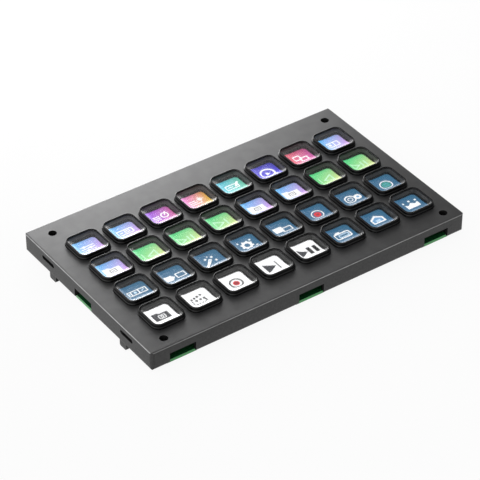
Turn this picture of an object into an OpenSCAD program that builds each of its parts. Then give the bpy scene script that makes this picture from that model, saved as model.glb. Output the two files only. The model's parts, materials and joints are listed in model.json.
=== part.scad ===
// Panel-mount macro keypad: a shallow metal tray whose face carries a grid of clear display keys.
// Behind the keys lie the switch mat, the contact film, the key frame, one flat screen and the board.
// Millimetres, +Z up. X runs along a row of keys and Y runs from the front edge to the back edge.
// The origin is under the middle of the tray, level with the lower ends of its four lugs.
// Row 1 is the back row, and column 1 is the left one.

/* [Tray] */
// Room between the key frame and the left wall
left_room = 6.8; // [4:0.1:12]
// Room between the key frame and the right wall
right_room = 3.4; // [3:0.1:12]
// Thickness of the face
face_t = 1.6; // [1.2:0.1:1.8]
// Thickness of the four walls
wall_t = 2; // [1.6:0.1:2.4]
// Radius of the upright corners
corner_r = 1; // [0.6:0.1:2]
// Radius of the lower corners of each wall
wall_corner_r = 2; // [1:0.25:3]
// Bevel round the edge of the face
face_bevel = 0.5; // [0.3:0.1:0.8]

/* [Corner bolts] */
// Distance from the left edge of the tray to the left holes
bolt_left = 11.4; // [8:0.1:14]
// Distance from the right edge of the tray to the right holes
bolt_right = 8.6; // [7:0.1:14]
// Distance from the front edge of the tray to the front holes
bolt_front = 6.5; // [6:0.1:10]
// Distance from the back edge of the tray to the back holes
bolt_back = 8.5; // [6:0.1:10]
// Radius of a clearance hole
bolt_hole_r = 2.2; // [1.7:0.1:2.7]
// Wall of the tube that runs down from each hole
bolt_tube_t = 1.1; // [0.8:0.1:1.5]
// Gap between the front tubes and the key frame
front_tube_gap = 0.35; // [0.2:0.05:1]
// Gap between the back tubes and the key frame
back_tube_gap = 1.35; // [0.2:0.05:3]

/* [Wall openings] */
// Width of a notch in the lower edge of a wall
notch_w = 15; // [12:0.5:17]
// Height of a notch
notch_h = 6.4; // [5.6:0.1:7.2]
// Bevel at the mouth of a notch
notch_bevel = 1.2; // [0.5:0.1:1.5]
// Distance from the end of a long wall to the middle of its outer notch
notch_end = 18; // [16:0.5:30]
// Place of the middle notch of the long walls
notch_x = -1; // [-3:0.5:3]
// Place of the notch in each end wall
notch_y = 3; // [0:0.5:5]
// Length of a slot in an end wall
slot_w = 10.8; // [8:0.2:12]
// Height of a slot
slot_h = 2.2; // [1.6:0.1:2.6]
// Middle of a slot above the lower edge of the wall
slot_z = 7; // [6:0.1:8]
// Distance from the end of an end wall to the middle of a slot
slot_end = 22; // [18:0.25:28]
// Middle of the pattern of slots and lugs
side_y = -0.4; // [-2:0.1:2]

/* [Lugs] */
// Width of a lug
lug_w = 5.6; // [4:0.2:7]
// Reach of a lug below the walls
lug_drop = 2.4; // [2.2:0.1:4]
// Thickness of a lug
lug_t = 1.7; // [1.2:0.1:2]
// Step from the outer face of the wall in to a lug
lug_inset = 0.2; // [0:0.1:0.3]
// Distance from the end of an end wall to the middle of a lug
lug_end = 25.6; // [20:0.2:32]
// Radius of the lower corners of a lug
lug_r = 0.9; // [0.3:0.1:1.2]
// Length of the shallow recess that a lug stands in
recess_w = 13; // [10:0.5:14]
// Depth of that recess
recess_h = 1.2; // [0.6:0.1:1.6]

/* [Keys] */
// Number of keys in a row
key_cols = 8; // [1:1:8]
// Number of rows
key_rows = 4; // [1:1:4]
// Width of the bar of the face between two keys
key_bar = 2.6; // [2:0.1:6]
// Width of a key at its top
cap_w = 18; // [14:0.1:22]
// Corner radius of a key at its top
cap_r = 4; // [3:0.1:4.8]
// Height of a key's top above the face
cap_rise = 2.6; // [1.8:0.1:3.5]
// Width of the step between the key's top and its base
cap_step = 0.4; // [0.2:0.1:0.5]
// Height of that step above the face
cap_step_rise = 1.1; // [0.6:0.1:1.4]
// Depth of the round dish in a key's top
dish_depth = 0.4; // [0.2:0.05:0.6]
// Flat margin between the dish and the edge of the key's top
dish_margin = 1; // [0.6:0.1:2]
// Width of the lip that keeps a key under the face
lip_w = 0.8; // [0.5:0.1:1]
// Thickness of that lip
lip_t = 1; // [0.8:0.1:1.2]
// Gap between the lip and the underside of the face
lip_gap = 0.2; // [0.1:0.05:0.3]
// Gap between a key and its window
key_gap = 0.2; // [0.15:0.05:0.3]
// Distance that a key travels
key_travel = 1; // [0.5:0.1:1.8]
// Height left between a pressed key and the screen
core_gap = 0.4; // [0.3:0.05:0.6]
// Height left between the lip of a pressed key and the web of the switch mat
press_gap = 0.15; // [0.12:0.01:0.3]

/* [Switch layers] */
// Step from the edge of a key's top in to the window that shows the screen
view_inset = 0.5; // [0.3:0.05:1]
// Corner radius of those windows
view_r = 2.5; // [1.5:0.1:3]
// Gap between a key's clear core and the windows
core_side_gap = 0.2; // [0.15:0.05:0.3]
// Thickness of the top plate of the key frame
frame_t = 0.6; // [0.4:0.05:0.7]
// Thickness of the walls of the key frame
frame_wall = 1; // [0.8:0.1:1.2]
// Thickness of the contact film
film_t = 0.15; // [0.1:0.05:0.2]
// Thickness of the web of the switch mat
mat_t = 0.2; // [0.15:0.05:0.25]
// Width of the collar that the mat raises under each key
collar_w = 1.2; // [0.8:0.1:1.4]
// Gap between a collar and the lip that rests over it
collar_gap = 0.1; // [0.05:0.01:0.15]
// Gap between stacked parts that are free to move
layer_gap = 0.1; // [0.05:0.01:0.15]

/* [Screen] */
// Margin of the screen round the windows at its sides and front
screen_margin = 2; // [1.5:0.1:4]
// Margin of the screen behind the windows, for its driver
screen_back_margin = 4.6; // [4.4:0.1:8]
// Thickness of the steel back
steel_t = 0.3; // [0.2:0.05:0.3]
// Thickness of the reflector sheet
reflector_t = 0.2; // [0.1:0.05:0.25]
// Thickness of the light guide
guide_t = 1; // [0.8:0.05:1]
// Thickness of the diffuser sheet
diffuser_t = 0.2; // [0.1:0.05:0.25]
// Thickness of one of the two sheets of glass
glass_t = 0.7; // [0.5:0.05:0.75]
// Depth of the ledge that the front glass leaves free for the driver
ledge_d = 3.5; // [3:0.1:4]
// Gap between the parts of the screen and its steel back
screen_gap = 0.1; // [0.05:0.05:0.2]
// Width of the driver chip on the ledge
driver_w = 24; // [18:1:30]
// Depth of the driver chip
driver_d = 1.2; // [0.8:0.1:1.4]
// Thickness of the driver chip
driver_t = 0.3; // [0.2:0.05:0.4]
// Depth of the light strip in front of the light guide
strip_d = 1.8; // [1.4:0.1:2]
// Number of lamps on the light strip
lamp_count = 16; // [8:1:18]
// Width of a lamp
lamp_w = 3; // [2:0.1:3.6]
// Thickness of the foam pads behind the screen
foam_t = 1.3; // [1:0.05:1.4]
// Depth of a foam pad
foam_d = 8; // [5:0.5:12]
// Number of foam pads
foam_count = 3; // [2:1:5]

/* [Board] */
// Thickness of the circuit board
board_t = 1.6; // [1:0.1:1.6]
// Gap between the board and the walls
board_gap = 0.3; // [0.2:0.05:0.5]
// Gap between a board tab and the sides of its notch
tab_gap = 0.6; // [0.3:0.1:1]
// Step from the outer face of a wall in to the end of a board tab
tab_inset = 1; // [0.4:0.1:1.2]
// Number of screws along each long edge
screw_count = 4; // [4:2:6]
// Radius of a screw's shank
screw_r = 1; // [0.8:0.05:1.1]
// Radius of a screw's head
screw_head_r = 1.9; // [1.6:0.1:2.1]
// Height of a screw's head
screw_head_h = 1.2; // [0.8:0.1:1.4]
// Length of a screw below its head
screw_len = 5; // [3:0.5:6]
// Wall of the post that a screw goes into
post_t = 1; // [0.8:0.1:1.2]
// Gap between a screw and its threaded hole
thread_gap = 0.03; // [0.02:0.01:0.06]

/* [Ribbons] */
// Thickness of a ribbon cable
ribbon_t = 0.15; // [0.1:0.05:0.2]
// Width of the screen's ribbon
screen_ribbon_w = 18; // [12:1:20]
// Width of the contact film's tail
film_tail_w = 14; // [10:1:18]
// Distance from the key frame to the ribbon connectors
socket_step = 2.2; // [1.8:0.1:3]
// Height of a ribbon connector
socket_h = 1.4; // [1.2:0.1:1.8]
// Depth of a ribbon connector
socket_d = 3.6; // [3:0.1:4]
// Width of a ribbon connector past each side of its ribbon
socket_side = 1.5; // [1:0.1:1.8]

/* [USB socket] */
// Width of the socket's shell
usb_w = 8.94; // [8.9:0.01:9]
// Height of the shell
usb_h = 3.26; // [3.2:0.01:3.3]
// Length of the shell
usb_len = 7.35; // [6.5:0.05:8]
// Thickness of the shell's sheet
usb_wall = 0.3; // [0.25:0.05:0.4]
// Step from the tray's outer face in to the socket's mouth
usb_inset = 0.3; // [0:0.1:0.8]
// Width of the tongue
usb_tongue_w = 6.69; // [6.6:0.01:6.7]
// Thickness of the tongue
usb_tongue_t = 0.7; // [0.65:0.01:0.75]
// Step from the socket's mouth in to the tongue
usb_tongue_inset = 0.8; // [0.6:0.1:1.2]
// Width of the feet that hold the shell on the board
usb_foot_w = 1.2; // [0.8:0.1:1.6]

/* [Parts on the board] */
// Width of the processor
processor_w = 14; // [10:0.5:16]
// Height of the processor
processor_h = 1.2; // [0.8:0.1:1.5]
// Width of the memory chip
memory_w = 11; // [8:0.5:12]
// Depth of the memory chip
memory_d = 8; // [6:0.5:10]
// Height of the memory chip
memory_h = 1; // [0.8:0.1:1.4]
// Width of the flash chip
flash_w = 6; // [5:0.5:7]
// Depth of the flash chip
flash_d = 5; // [4:0.5:6]
// Height of the flash chip
flash_h = 0.9; // [0.7:0.1:1.4]
// Width of a power chip
power_w = 4; // [3:0.5:5]
// Height of a power chip
power_h = 0.9; // [0.7:0.1:1.2]
// Width of a choke
choke_w = 5; // [4:0.5:6]
// Height of a choke
choke_h = 1.8; // [1.2:0.1:2]
// Width of the crystal
crystal_w = 3.2; // [2.5:0.1:5]
// Depth of the crystal
crystal_d = 2.5; // [2:0.1:3.2]
// Height of the crystal
crystal_h = 0.8; // [0.6:0.1:1.2]
// Length of a small capacitor or resistor
chip_w = 1.6; // [1:0.1:2]
// Width of a small capacitor or resistor
chip_d = 0.8; // [0.5:0.1:1]
// Height of a small capacitor
capacitor_h = 0.8; // [0.5:0.1:1.2]
// Height of a small resistor
resistor_h = 0.45; // [0.3:0.05:0.6]

/* [Hidden] */
$fn = 48;

// How far a cut runs past the faces that it opens
cut = 1;
// How deep joined shapes run into each other
bite = 0.4;

// Levels, from the lugs up to the tops of the keys
wall_z = lug_drop;
board_z = wall_z;
board_top_z = board_z + board_t;
screen_z = board_top_z + foam_t;
reflector_z = screen_z + steel_t;
guide_z = reflector_z + reflector_t;
diffuser_z = guide_z + guide_t;
panel_z = diffuser_z + diffuser_t;
ledge_z = panel_z + glass_t;
screen_top_z = ledge_z + glass_t;
frame_z = screen_top_z + layer_gap;
film_z = frame_z + frame_t;
mat_z = film_z + film_t;
lip_z = mat_z + mat_t + press_gap + key_travel;
collar_top_z = lip_z - collar_gap;
core_z = screen_top_z + key_travel + core_gap;
under_face_z = lip_z + lip_t + lip_gap;
face_z = under_face_z + face_t;
tray_h = face_z - wall_z;
cap_top_z = face_z + cap_rise;

// Plan sizes of a key
base_w = cap_w + 2 * cap_step;
base_r = cap_r + cap_step;
window_w = base_w + 2 * key_gap;
window_r = base_r + key_gap;
key_pitch = window_w + key_bar;
view_w = cap_w - 2 * view_inset;
lip_full_w = base_w + 2 * lip_w;
lip_r = base_r + lip_w;
core_w = view_w - 2 * core_side_gap;
core_r = view_r - core_side_gap;
dish_r = cap_w / 2 - dish_margin;
dish_sphere_r = (dish_r * dish_r + dish_depth * dish_depth) / (2 * dish_depth);
collar_full_w = view_w + 2 * collar_w;
collar_r = view_r + collar_w;

// The screen covers every window, with a wider margin at the back, and the key frame goes round it
grid_w = (key_cols - 1) * key_pitch + view_w;
grid_d = (key_rows - 1) * key_pitch + view_w;
screen_w = grid_w + 2 * screen_margin;
screen_d = grid_d + screen_margin + screen_back_margin;
frame_w = screen_w + 2 * (frame_wall + layer_gap);
frame_d = screen_d + 2 * (frame_wall + layer_gap);
frame_r = 1.5;

// The tray goes round the key frame and the bolt tubes; its middle is the origin
bolt_tube_r = bolt_hole_r + bolt_tube_t;
post_r = screw_r + post_t;
front_rim = front_tube_gap + bolt_tube_r + bolt_front;
back_rim = back_tube_gap + bolt_tube_r + bolt_back;
tray_w = frame_w + left_room + right_room + 2 * wall_t;
tray_d = frame_d + front_rim + back_rim;
keys_x = (left_room - right_room) / 2;
screen_y = (front_rim - back_rim) / 2;
keys_y = screen_y - (screen_back_margin - screen_margin) / 2;
cavity_w = tray_w - 2 * wall_t;
cavity_d = tray_d - 2 * wall_t;
cavity_r = 0.8;
bolt_dx = tray_w - bolt_left - bolt_right;
bolt_dy = tray_d - bolt_front - bolt_back;
bolt_x = (bolt_left - bolt_right) / 2;
bolt_y = (bolt_front - bolt_back) / 2;
frame_front_y = screen_y - frame_d / 2;
frame_back_y = screen_y + frame_d / 2;
screw_pitch = tray_w / (screw_count + 1);
screw_front_y = (frame_front_y - cavity_d / 2) / 2;
screw_back_y = (frame_back_y + cavity_d / 2) / 2;
slot_dy = tray_d / 2 - slot_end;
lug_dy = tray_d / 2 - lug_end;

// Sheets of the screen
sheet_w = screen_w - 2 * (steel_t + screen_gap);
sheet_d = screen_d - 2 * (steel_t + screen_gap);
sheet_front_y = screen_y - sheet_d / 2;
sheet_back_y = screen_y + sheet_d / 2;

// Ribbons and their connectors, behind the key frame and midway between two screws
ribbon_x = screw_pitch;
ribbon_bend = 0.8;
ribbon_lead = 0.2;
ribbon_plug = 1.2;
ribbon_side_gap = 0.5;
socket_y = frame_back_y + socket_step;
socket_slot_h = 0.5;
socket_slot_d = 1.6;
ribbon_z = board_top_z + 0.6;
ribbon_end_y = socket_y + ribbon_plug;
driver_gap = 0.2;
driver_y = sheet_back_y - ledge_d + driver_d / 2 + driver_gap;
screen_ribbon_y = driver_y + driver_d / 2 + driver_gap;

// USB socket, sunk into the back edge of the board
usb_mouth_y = tray_d / 2 - usb_inset;
usb_z = board_z + board_t / 2;
usb_side_flat = 0.7;
usb_corner_r = (usb_h - usb_side_flat) / 2;
usb_board_gap = 0.1;
usb_base_len = 1.6;
usb_base_gap = 0.05;
usb_foot_d = 1;
usb_foot_inset = 2;
usb_foot_dy = 4;

// Middles of the larger parts on the underside of the board
processor_x = -8;
processor_y = 4;
memory_x = 11;
memory_y = 7;
flash_x = 10;
flash_y = -6;
crystal_x = -21;
crystal_y = 8;
power_x = -38;
power_y = 30;
power_dx = 38;
power_chip_count = 3;
choke_side = 7;
choke_r = 1;
crystal_r = 0.4;
// Step from the edge of a larger part to the middles of the small parts beside it, and between those
small_side = 1.9;
small_gap = 2.4;
// Cross recess in the head of a screw
cross_w = 0.45;
cross_h = 0.7;

function key_name(row, col) = str("keycap_r", row, "_c", col);
function key_x(col) = keys_x + (col - (key_cols + 1) / 2) * key_pitch;
function key_y(row) = keys_y + ((key_rows + 1) / 2 - row) * key_pitch;
function screw_x(n) = (n - (screw_count - 1) / 2) * screw_pitch;

// The line of a ribbon in the YZ plane, from its connector up to a level at the key frame's back
function ribbon_path(z, end_y) = [
    [ribbon_end_y, ribbon_z], [socket_y, ribbon_z],
    [socket_y - ribbon_bend, ribbon_z + ribbon_bend / 2],
    [frame_back_y + ribbon_bend, z - ribbon_bend / 2], [frame_back_y + ribbon_lead, z], [end_y, z]];

// Points of a thin strip that lies on the left of a line of points
function unit(v) = v / norm(v);
function left_of(v) = [-v.y, v.x];
function side_at(p, i) = left_of(unit(
    unit(p[min(i + 1, len(p) - 1)] - p[min(i, len(p) - 2)])
    + unit(p[max(i, 1)] - p[max(i - 1, 0)])));
function strip(p, t) = concat(
    [for (i = [0:len(p) - 1]) p[i]],
    [for (i = [len(p) - 1:-1:0]) p[i] + t * side_at(p, i)]);

// A rectangle with round corners
module round_rect(w, d, r) {
    square([w - 2 * r, d], center = true);
    square([w, d - 2 * r], center = true);
    for (sx = [-1, 1], sy = [-1, 1])
        translate([sx * (w / 2 - r), sy * (d / 2 - r)]) circle(r);
}

// A plate with round corners, standing on a level
module plate(w, d, r, z, h) {
    translate([0, 0, z]) linear_extrude(h) round_rect(w, d, r);
}

// A block standing on a level
module block(w, d, z, h) {
    translate([-w / 2, -d / 2, z]) cube([w, d, h]);
}

// A block hanging under the board
module under_board(w, d, h) {
    block(w, d, board_z - h, h);
}

module at_each_key() {
    for (row = [1:key_rows], col = [1:key_cols])
        translate([key_x(col), key_y(row), 0]) children();
}

module at_each_bolt() {
    for (sx = [-1, 1], sy = [-1, 1])
        translate([bolt_x + sx * bolt_dx / 2, bolt_y + sy * bolt_dy / 2, 0]) children();
}

module at_each_screw() {
    for (n = [0:screw_count - 1], y = [screw_front_y, screw_back_y])
        translate([screw_x(n), y, 0]) children();
}

// Places the children, which face -Y at a front wall's outer face, at each notch
module at_each_notch() {
    for (side = [0, 1], x = [notch_end - tray_w / 2, notch_x, tray_w / 2 - notch_end])
        translate([x, (side == 0 ? -1 : 1) * tray_d / 2, 0])
            rotate([0, 0, side * 180]) children();
    for (side = [-1, 1])
        translate([side * tray_w / 2, notch_y, 0]) rotate([0, 0, side * 90]) children();
}

// Places the children, which face -Y, at both ends of each end wall; the pattern's middle is toward -end
module at_each_side(dy) {
    for (side = [-1, 1], end = [-1, 1])
        translate([side * tray_w / 2, side_y + end * dy, 0])
            rotate([0, 0, side * 90]) mirror([end * side > 0 ? 0 : 1, 0, 0]) children();
}

// A shape drawn in elevation and pushed in from a wall's outer face
module from_wall(depth) {
    translate([0, depth, 0]) rotate([90, 0, 0]) linear_extrude(depth + cut) children();
}

// Elevation of the tray: round lower corners and a bevelled top edge
module tray_elevation(w) {
    translate([-w / 2, wall_corner_r]) square([w, tray_h - wall_corner_r - face_bevel]);
    translate([-w / 2 + wall_corner_r, 0]) square([w - 2 * wall_corner_r, wall_corner_r + bite]);
    for (side = [-1, 1])
        translate([side * (w / 2 - wall_corner_r), wall_corner_r]) circle(wall_corner_r);
    polygon([
        [-w / 2, tray_h - face_bevel - bite], [w / 2, tray_h - face_bevel - bite],
        [w / 2, tray_h - face_bevel], [w / 2 - face_bevel, tray_h],
        [-w / 2 + face_bevel, tray_h], [-w / 2, tray_h - face_bevel]]);
}

module tray_blank() {
    intersection() {
        plate(tray_w, tray_d, corner_r, wall_z, tray_h);
        translate([0, tray_d / 2, wall_z]) rotate([90, 0, 0])
            linear_extrude(tray_d) tray_elevation(tray_w);
        translate([-tray_w / 2, 0, wall_z]) rotate([90, 0, 90])
            linear_extrude(tray_w) tray_elevation(tray_d);
    }
}

module notch_outline() {
    translate([-notch_w / 2, wall_z - cut]) square([notch_w, notch_h + cut]);
    polygon([
        [-notch_w / 2 - notch_bevel - cut, wall_z - cut],
        [notch_w / 2 + notch_bevel + cut, wall_z - cut],
        [notch_w / 2, wall_z + notch_bevel], [-notch_w / 2, wall_z + notch_bevel]]);
}

module slot_outline() {
    translate([0, wall_z + slot_z]) {
        square([slot_w - slot_h, slot_h], center = true);
        for (side = [-1, 1])
            translate([side * (slot_w - slot_h) / 2, 0]) circle(slot_h / 2);
    }
}

// A lug and its recess end together on the side nearer the middle of the wall
module recess_outline() {
    translate([-lug_w / 2, wall_z - cut]) square([recess_w, recess_h + cut]);
}

module lug_outline() {
    top = lug_drop + recess_h + bite;
    translate([-lug_w / 2, lug_r]) square([lug_w, top - lug_r]);
    translate([-lug_w / 2 + lug_r, 0]) square([lug_w - 2 * lug_r, lug_r + bite]);
    for (side = [-1, 1])
        translate([side * (lug_w / 2 - lug_r), lug_r]) circle(lug_r);
}

module tray() {
    color([0.23, 0.23, 0.24]) {
        difference() {
            union() {
                difference() {
                    tray_blank();
                    plate(cavity_w, cavity_d, cavity_r, wall_z - cut, tray_h - face_t + cut);
                }
                at_each_bolt() translate([0, 0, wall_z])
                    cylinder(r = bolt_tube_r, h = tray_h - face_t + bite);
                at_each_screw() translate([0, 0, board_top_z])
                    cylinder(r = post_r, h = under_face_z - board_top_z + bite);
            }
            at_each_key() plate(window_w, window_w, window_r, under_face_z - cut, face_t + 2 * cut);
            at_each_bolt() translate([0, 0, wall_z - cut])
                cylinder(r = bolt_hole_r, h = tray_h + 2 * cut);
            at_each_screw() translate([0, 0, board_top_z - cut])
                cylinder(r = screw_r + thread_gap, h = screw_len - board_t + cut + bite);
            at_each_notch() from_wall(wall_t) notch_outline();
            at_each_side(slot_dy) from_wall(wall_t) slot_outline();
            at_each_side(lug_dy) from_wall(wall_t) recess_outline();
        }
        at_each_side(lug_dy) translate([0, lug_inset + lug_t, 0]) rotate([90, 0, 0])
            linear_extrude(lug_t) lug_outline();
    }
}

// One key: clear core with a black side, a step just above the face and a lip under it
module keycap(row, col) {
    color([0.05, 0.05, 0.06]) translate([key_x(col), key_y(row), 0])
        difference() {
            union() {
                plate(core_w, core_w, core_r, core_z, lip_z - core_z + bite);
                plate(lip_full_w, lip_full_w, lip_r, lip_z, lip_t);
                plate(base_w, base_w, base_r, lip_z, face_z + cap_step_rise - lip_z);
                plate(cap_w, cap_w, cap_r, face_z, cap_rise);
            }
            translate([0, 0, cap_top_z - dish_depth + dish_sphere_r])
                sphere(dish_sphere_r, $fn = 96);
        }
}

// Silicone sheet with a collar under the lip of each key
module switch_mat() {
    color([0.2, 0.2, 0.21])
        difference() {
            union() {
                translate([keys_x, screen_y, 0]) plate(frame_w, frame_d, frame_r, mat_z, mat_t);
                at_each_key() plate(collar_full_w, collar_full_w, collar_r, mat_z, collar_top_z - mat_z);
            }
            at_each_key() plate(view_w, view_w, view_r, mat_z - cut, collar_top_z - mat_z + 2 * cut);
        }
}

// A strip that is bent in the YZ plane and centred on x
module ribbon(x, w, points) {
    translate([x - w / 2, 0, 0]) rotate([90, 0, 90]) linear_extrude(w) polygon(points);
}

module contact_film() {
    color([0.72, 0.45, 0.18]) {
        difference() {
            translate([keys_x, screen_y, 0]) plate(frame_w, frame_d, frame_r, film_z, film_t);
            at_each_key() plate(view_w, view_w, view_r, film_z - cut, film_t + 2 * cut);
        }
        ribbon(-ribbon_x, film_tail_w, strip(ribbon_path(film_z, frame_back_y - bite), -film_t));
    }
}

// Plastic frame that stands on the board round the screen and carries the film and the mat
module key_frame() {
    color([0.09, 0.09, 0.1])
        difference() {
            translate([keys_x, screen_y, 0])
                plate(frame_w, frame_d, frame_r, board_top_z, film_z - board_top_z);
            translate([keys_x, screen_y, 0])
                block(frame_w - 2 * frame_wall, frame_d - 2 * frame_wall,
                    board_top_z - cut, frame_z - board_top_z + cut);
            at_each_key() plate(view_w, view_w, view_r, frame_z - cut, frame_t + 2 * cut);
            translate([ribbon_x, frame_back_y, 0])
                block(screen_ribbon_w + 2 * ribbon_side_gap, 2 * (frame_wall + cut),
                    ledge_z - layer_gap, ribbon_t + 2 * layer_gap);
        }
}

// Two sheets of glass; the front one is shorter and leaves a ledge for the driver
module lcd_panel() {
    color([0.08, 0.09, 0.11]) {
        translate([keys_x, screen_y, 0]) block(sheet_w, sheet_d, panel_z, glass_t);
        translate([keys_x, screen_y - ledge_d / 2, 0])
            block(sheet_w, sheet_d - ledge_d, ledge_z, glass_t);
    }
}

module display_driver() {
    color([0.2, 0.2, 0.23]) translate([ribbon_x, driver_y, 0])
        block(driver_w, driver_d, ledge_z, driver_t);
}

module screen_ribbon() {
    color([0.76, 0.48, 0.16])
        ribbon(ribbon_x, screen_ribbon_w, strip(ribbon_path(ledge_z, screen_ribbon_y), -ribbon_t));
}

module diffuser_sheet() {
    color([0.95, 0.95, 0.96]) translate([keys_x, screen_y, 0])
        block(sheet_w, sheet_d, diffuser_z, diffuser_t);
}

// Behind the light strip, so it is shorter than the sheets
module light_guide() {
    guide_d = sheet_d - strip_d - screen_gap;
    color([0.86, 0.92, 0.95]) translate([keys_x, sheet_back_y - guide_d / 2, 0])
        block(sheet_w, guide_d, guide_z, guide_t);
}

module reflector_sheet() {
    color([0.97, 0.97, 0.97]) translate([keys_x, screen_y, 0])
        block(sheet_w, sheet_d, reflector_z, reflector_t);
}

// A narrow circuit with a row of lamps that shine into the light guide
module light_strip() {
    lamp_pitch = sheet_w / lamp_count;
    strip_t = 0.2;
    lamp_h = guide_t - strip_t;
    color([0.93, 0.9, 0.72]) translate([keys_x, sheet_front_y + strip_d / 2, 0]) {
        block(sheet_w, strip_d, guide_z, strip_t);
        for (n = [0:lamp_count - 1])
            translate([(n - (lamp_count - 1) / 2) * lamp_pitch, 0, 0])
                block(lamp_w, strip_d - 2 * layer_gap, guide_z + strip_t / 2, lamp_h);
    }
}

// Folded steel pan round the screen; its back wall is open for the ribbon
module screen_back() {
    color([0.6, 0.61, 0.63])
        difference() {
            translate([keys_x, screen_y, 0]) block(screen_w, screen_d, screen_z, screen_top_z - screen_z);
            translate([keys_x, screen_y, 0])
                block(screen_w - 2 * steel_t, screen_d - 2 * steel_t,
                    reflector_z, screen_top_z - reflector_z + cut);
            translate([ribbon_x, screen_y + screen_d / 2, 0])
                block(screen_ribbon_w + 2 * ribbon_side_gap, 2 * (steel_t + cut),
                    ledge_z - layer_gap, screen_top_z - ledge_z + cut);
        }
}

module foam_pads() {
    pad_w = screen_w - 4 * screen_margin;
    pad_pitch = (screen_d - foam_d - 2 * screen_margin) / (foam_count - 1);
    color([0.16, 0.16, 0.17])
        for (n = [0:foam_count - 1])
            translate([keys_x, screen_y + (n - (foam_count - 1) / 2) * pad_pitch, 0])
                block(pad_w, foam_d, board_top_z, foam_t);
}

// Board with a tab in each notch, open slots for the bolt tubes and a cut-out for the socket
module main_board() {
    tab_w = notch_w - 2 * tab_gap;
    slot_r = bolt_tube_r + board_gap;
    color([0.05, 0.4, 0.12])
        difference() {
            union() {
                plate(cavity_w - 2 * board_gap, cavity_d - 2 * board_gap, cavity_r, board_z, board_t);
                at_each_notch() translate([0, tab_inset, board_z])
                    translate([-tab_w / 2, 0, 0]) cube([tab_w, wall_t + board_gap, board_t]);
            }
            for (sx = [-1, 1], sy = [-1, 1])
                translate([bolt_x + sx * bolt_dx / 2, bolt_y + sy * bolt_dy / 2, board_z - cut]) {
                    cylinder(r = slot_r, h = board_t + 2 * cut);
                    translate([-slot_r, sy > 0 ? 0 : -tray_d / 4, 0])
                        cube([2 * slot_r, tray_d / 4, board_t + 2 * cut]);
                }
            at_each_screw() translate([0, 0, board_z - cut])
                cylinder(r = screw_r + 2 * thread_gap, h = board_t + 2 * cut);
            translate([notch_x - usb_w / 2 - usb_board_gap, usb_mouth_y - usb_len - usb_board_gap,
                    board_z - cut])
                cube([usb_w + 2 * usb_board_gap, usb_len + tray_d / 4, board_t + 2 * cut]);
        }
}

// Outline of the socket's shell, smaller by the given step on every side
module usb_outline(step) {
    round_rect(usb_w - 2 * step, usb_h - 2 * step, usb_corner_r - step);
}

module at_usb_mouth() {
    translate([notch_x, usb_mouth_y, usb_z]) rotate([90, 0, 0]) children();
}

module usb_shell() {
    color([0.75, 0.76, 0.78]) {
        difference() {
            at_usb_mouth() linear_extrude(usb_len) usb_outline(0);
            at_usb_mouth() translate([0, 0, -cut])
                linear_extrude(usb_len + cut - usb_wall) usb_outline(usb_wall);
        }
        for (side = [-1, 1], n = [0, 1])
            translate([notch_x + side * (usb_w / 2 + usb_foot_w / 2 - usb_wall / 4),
                    usb_mouth_y - usb_foot_inset - n * usb_foot_dy, 0])
                block(usb_foot_w + usb_wall / 2, usb_foot_d, board_top_z, usb_wall);
    }
}

module usb_tongue() {
    color([0.06, 0.06, 0.07]) {
        at_usb_mouth() translate([0, 0, usb_tongue_inset])
            linear_extrude(usb_len - usb_wall - usb_tongue_inset)
                square([usb_tongue_w, usb_tongue_t], center = true);
        at_usb_mouth() translate([0, 0, usb_len - usb_wall - usb_base_len])
            linear_extrude(usb_base_len) usb_outline(usb_wall + usb_base_gap);
    }
}

module processor() {
    color([0.11, 0.11, 0.12]) translate([processor_x, processor_y, 0])
        under_board(processor_w, processor_w, processor_h);
}

module memory_chip() {
    color([0.12, 0.12, 0.13]) translate([memory_x, memory_y, 0])
        under_board(memory_w, memory_d, memory_h);
}

module flash_chip() {
    color([0.12, 0.12, 0.13]) translate([flash_x, flash_y, 0])
        under_board(flash_w, flash_d, flash_h);
}

module at_each_power_chip() {
    for (n = [0:power_chip_count - 1])
        translate([power_x + n * power_dx, power_y, 0]) children();
}

module power_chips() {
    color([0.13, 0.13, 0.14]) at_each_power_chip() under_board(power_w, power_w, power_h);
}

module chokes() {
    color([0.27, 0.27, 0.28]) at_each_power_chip() translate([choke_side, 0, 0])
        plate(choke_w, choke_w, choke_r, board_z - choke_h, choke_h);
}

module crystal() {
    color([0.78, 0.78, 0.76]) translate([crystal_x, crystal_y, 0])
        plate(crystal_w, crystal_d, crystal_r, board_z - crystal_h, crystal_h);
}

// Rows beside the processor and the memory, and one on each side of every power chip
module capacitors() {
    color([0.66, 0.52, 0.36]) {
        for (n = [-2:2], side = [-1, 1])
            translate([processor_x + n * small_gap, processor_y + side * (processor_w / 2 + small_side), 0])
                under_board(chip_d, chip_w, capacitor_h);
        for (n = [-1:1])
            translate([memory_x + n * small_gap, memory_y + memory_d / 2 + small_side, 0])
                under_board(chip_d, chip_w, capacitor_h);
        at_each_power_chip() for (side = [-1, 1])
            translate([0, side * (power_w / 2 + small_side), 0]) under_board(chip_w, chip_d, capacitor_h);
    }
}

// Rows beside the crystal, the flash chip, the power chips and the two ribbon connectors
module resistors() {
    color([0.1, 0.1, 0.11]) {
        for (side = [-1, 1])
            translate([crystal_x, crystal_y + side * (crystal_d / 2 + small_side), 0])
                under_board(chip_w, chip_d, resistor_h);
        for (n = [-1:1])
            translate([flash_x + flash_w / 2 + small_side, flash_y + n * small_gap, 0])
                under_board(chip_w, chip_d, resistor_h);
        at_each_power_chip() for (n = [-1:1])
            translate([-power_w / 2 - small_side, n * small_gap, 0])
                under_board(chip_w, chip_d, resistor_h);
        for (side = [-1, 1], n = [-3:3])
            translate([side * ribbon_x + n * small_gap, socket_y - 2 * small_side, 0])
                under_board(chip_d, chip_w, resistor_h);
    }
}

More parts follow.
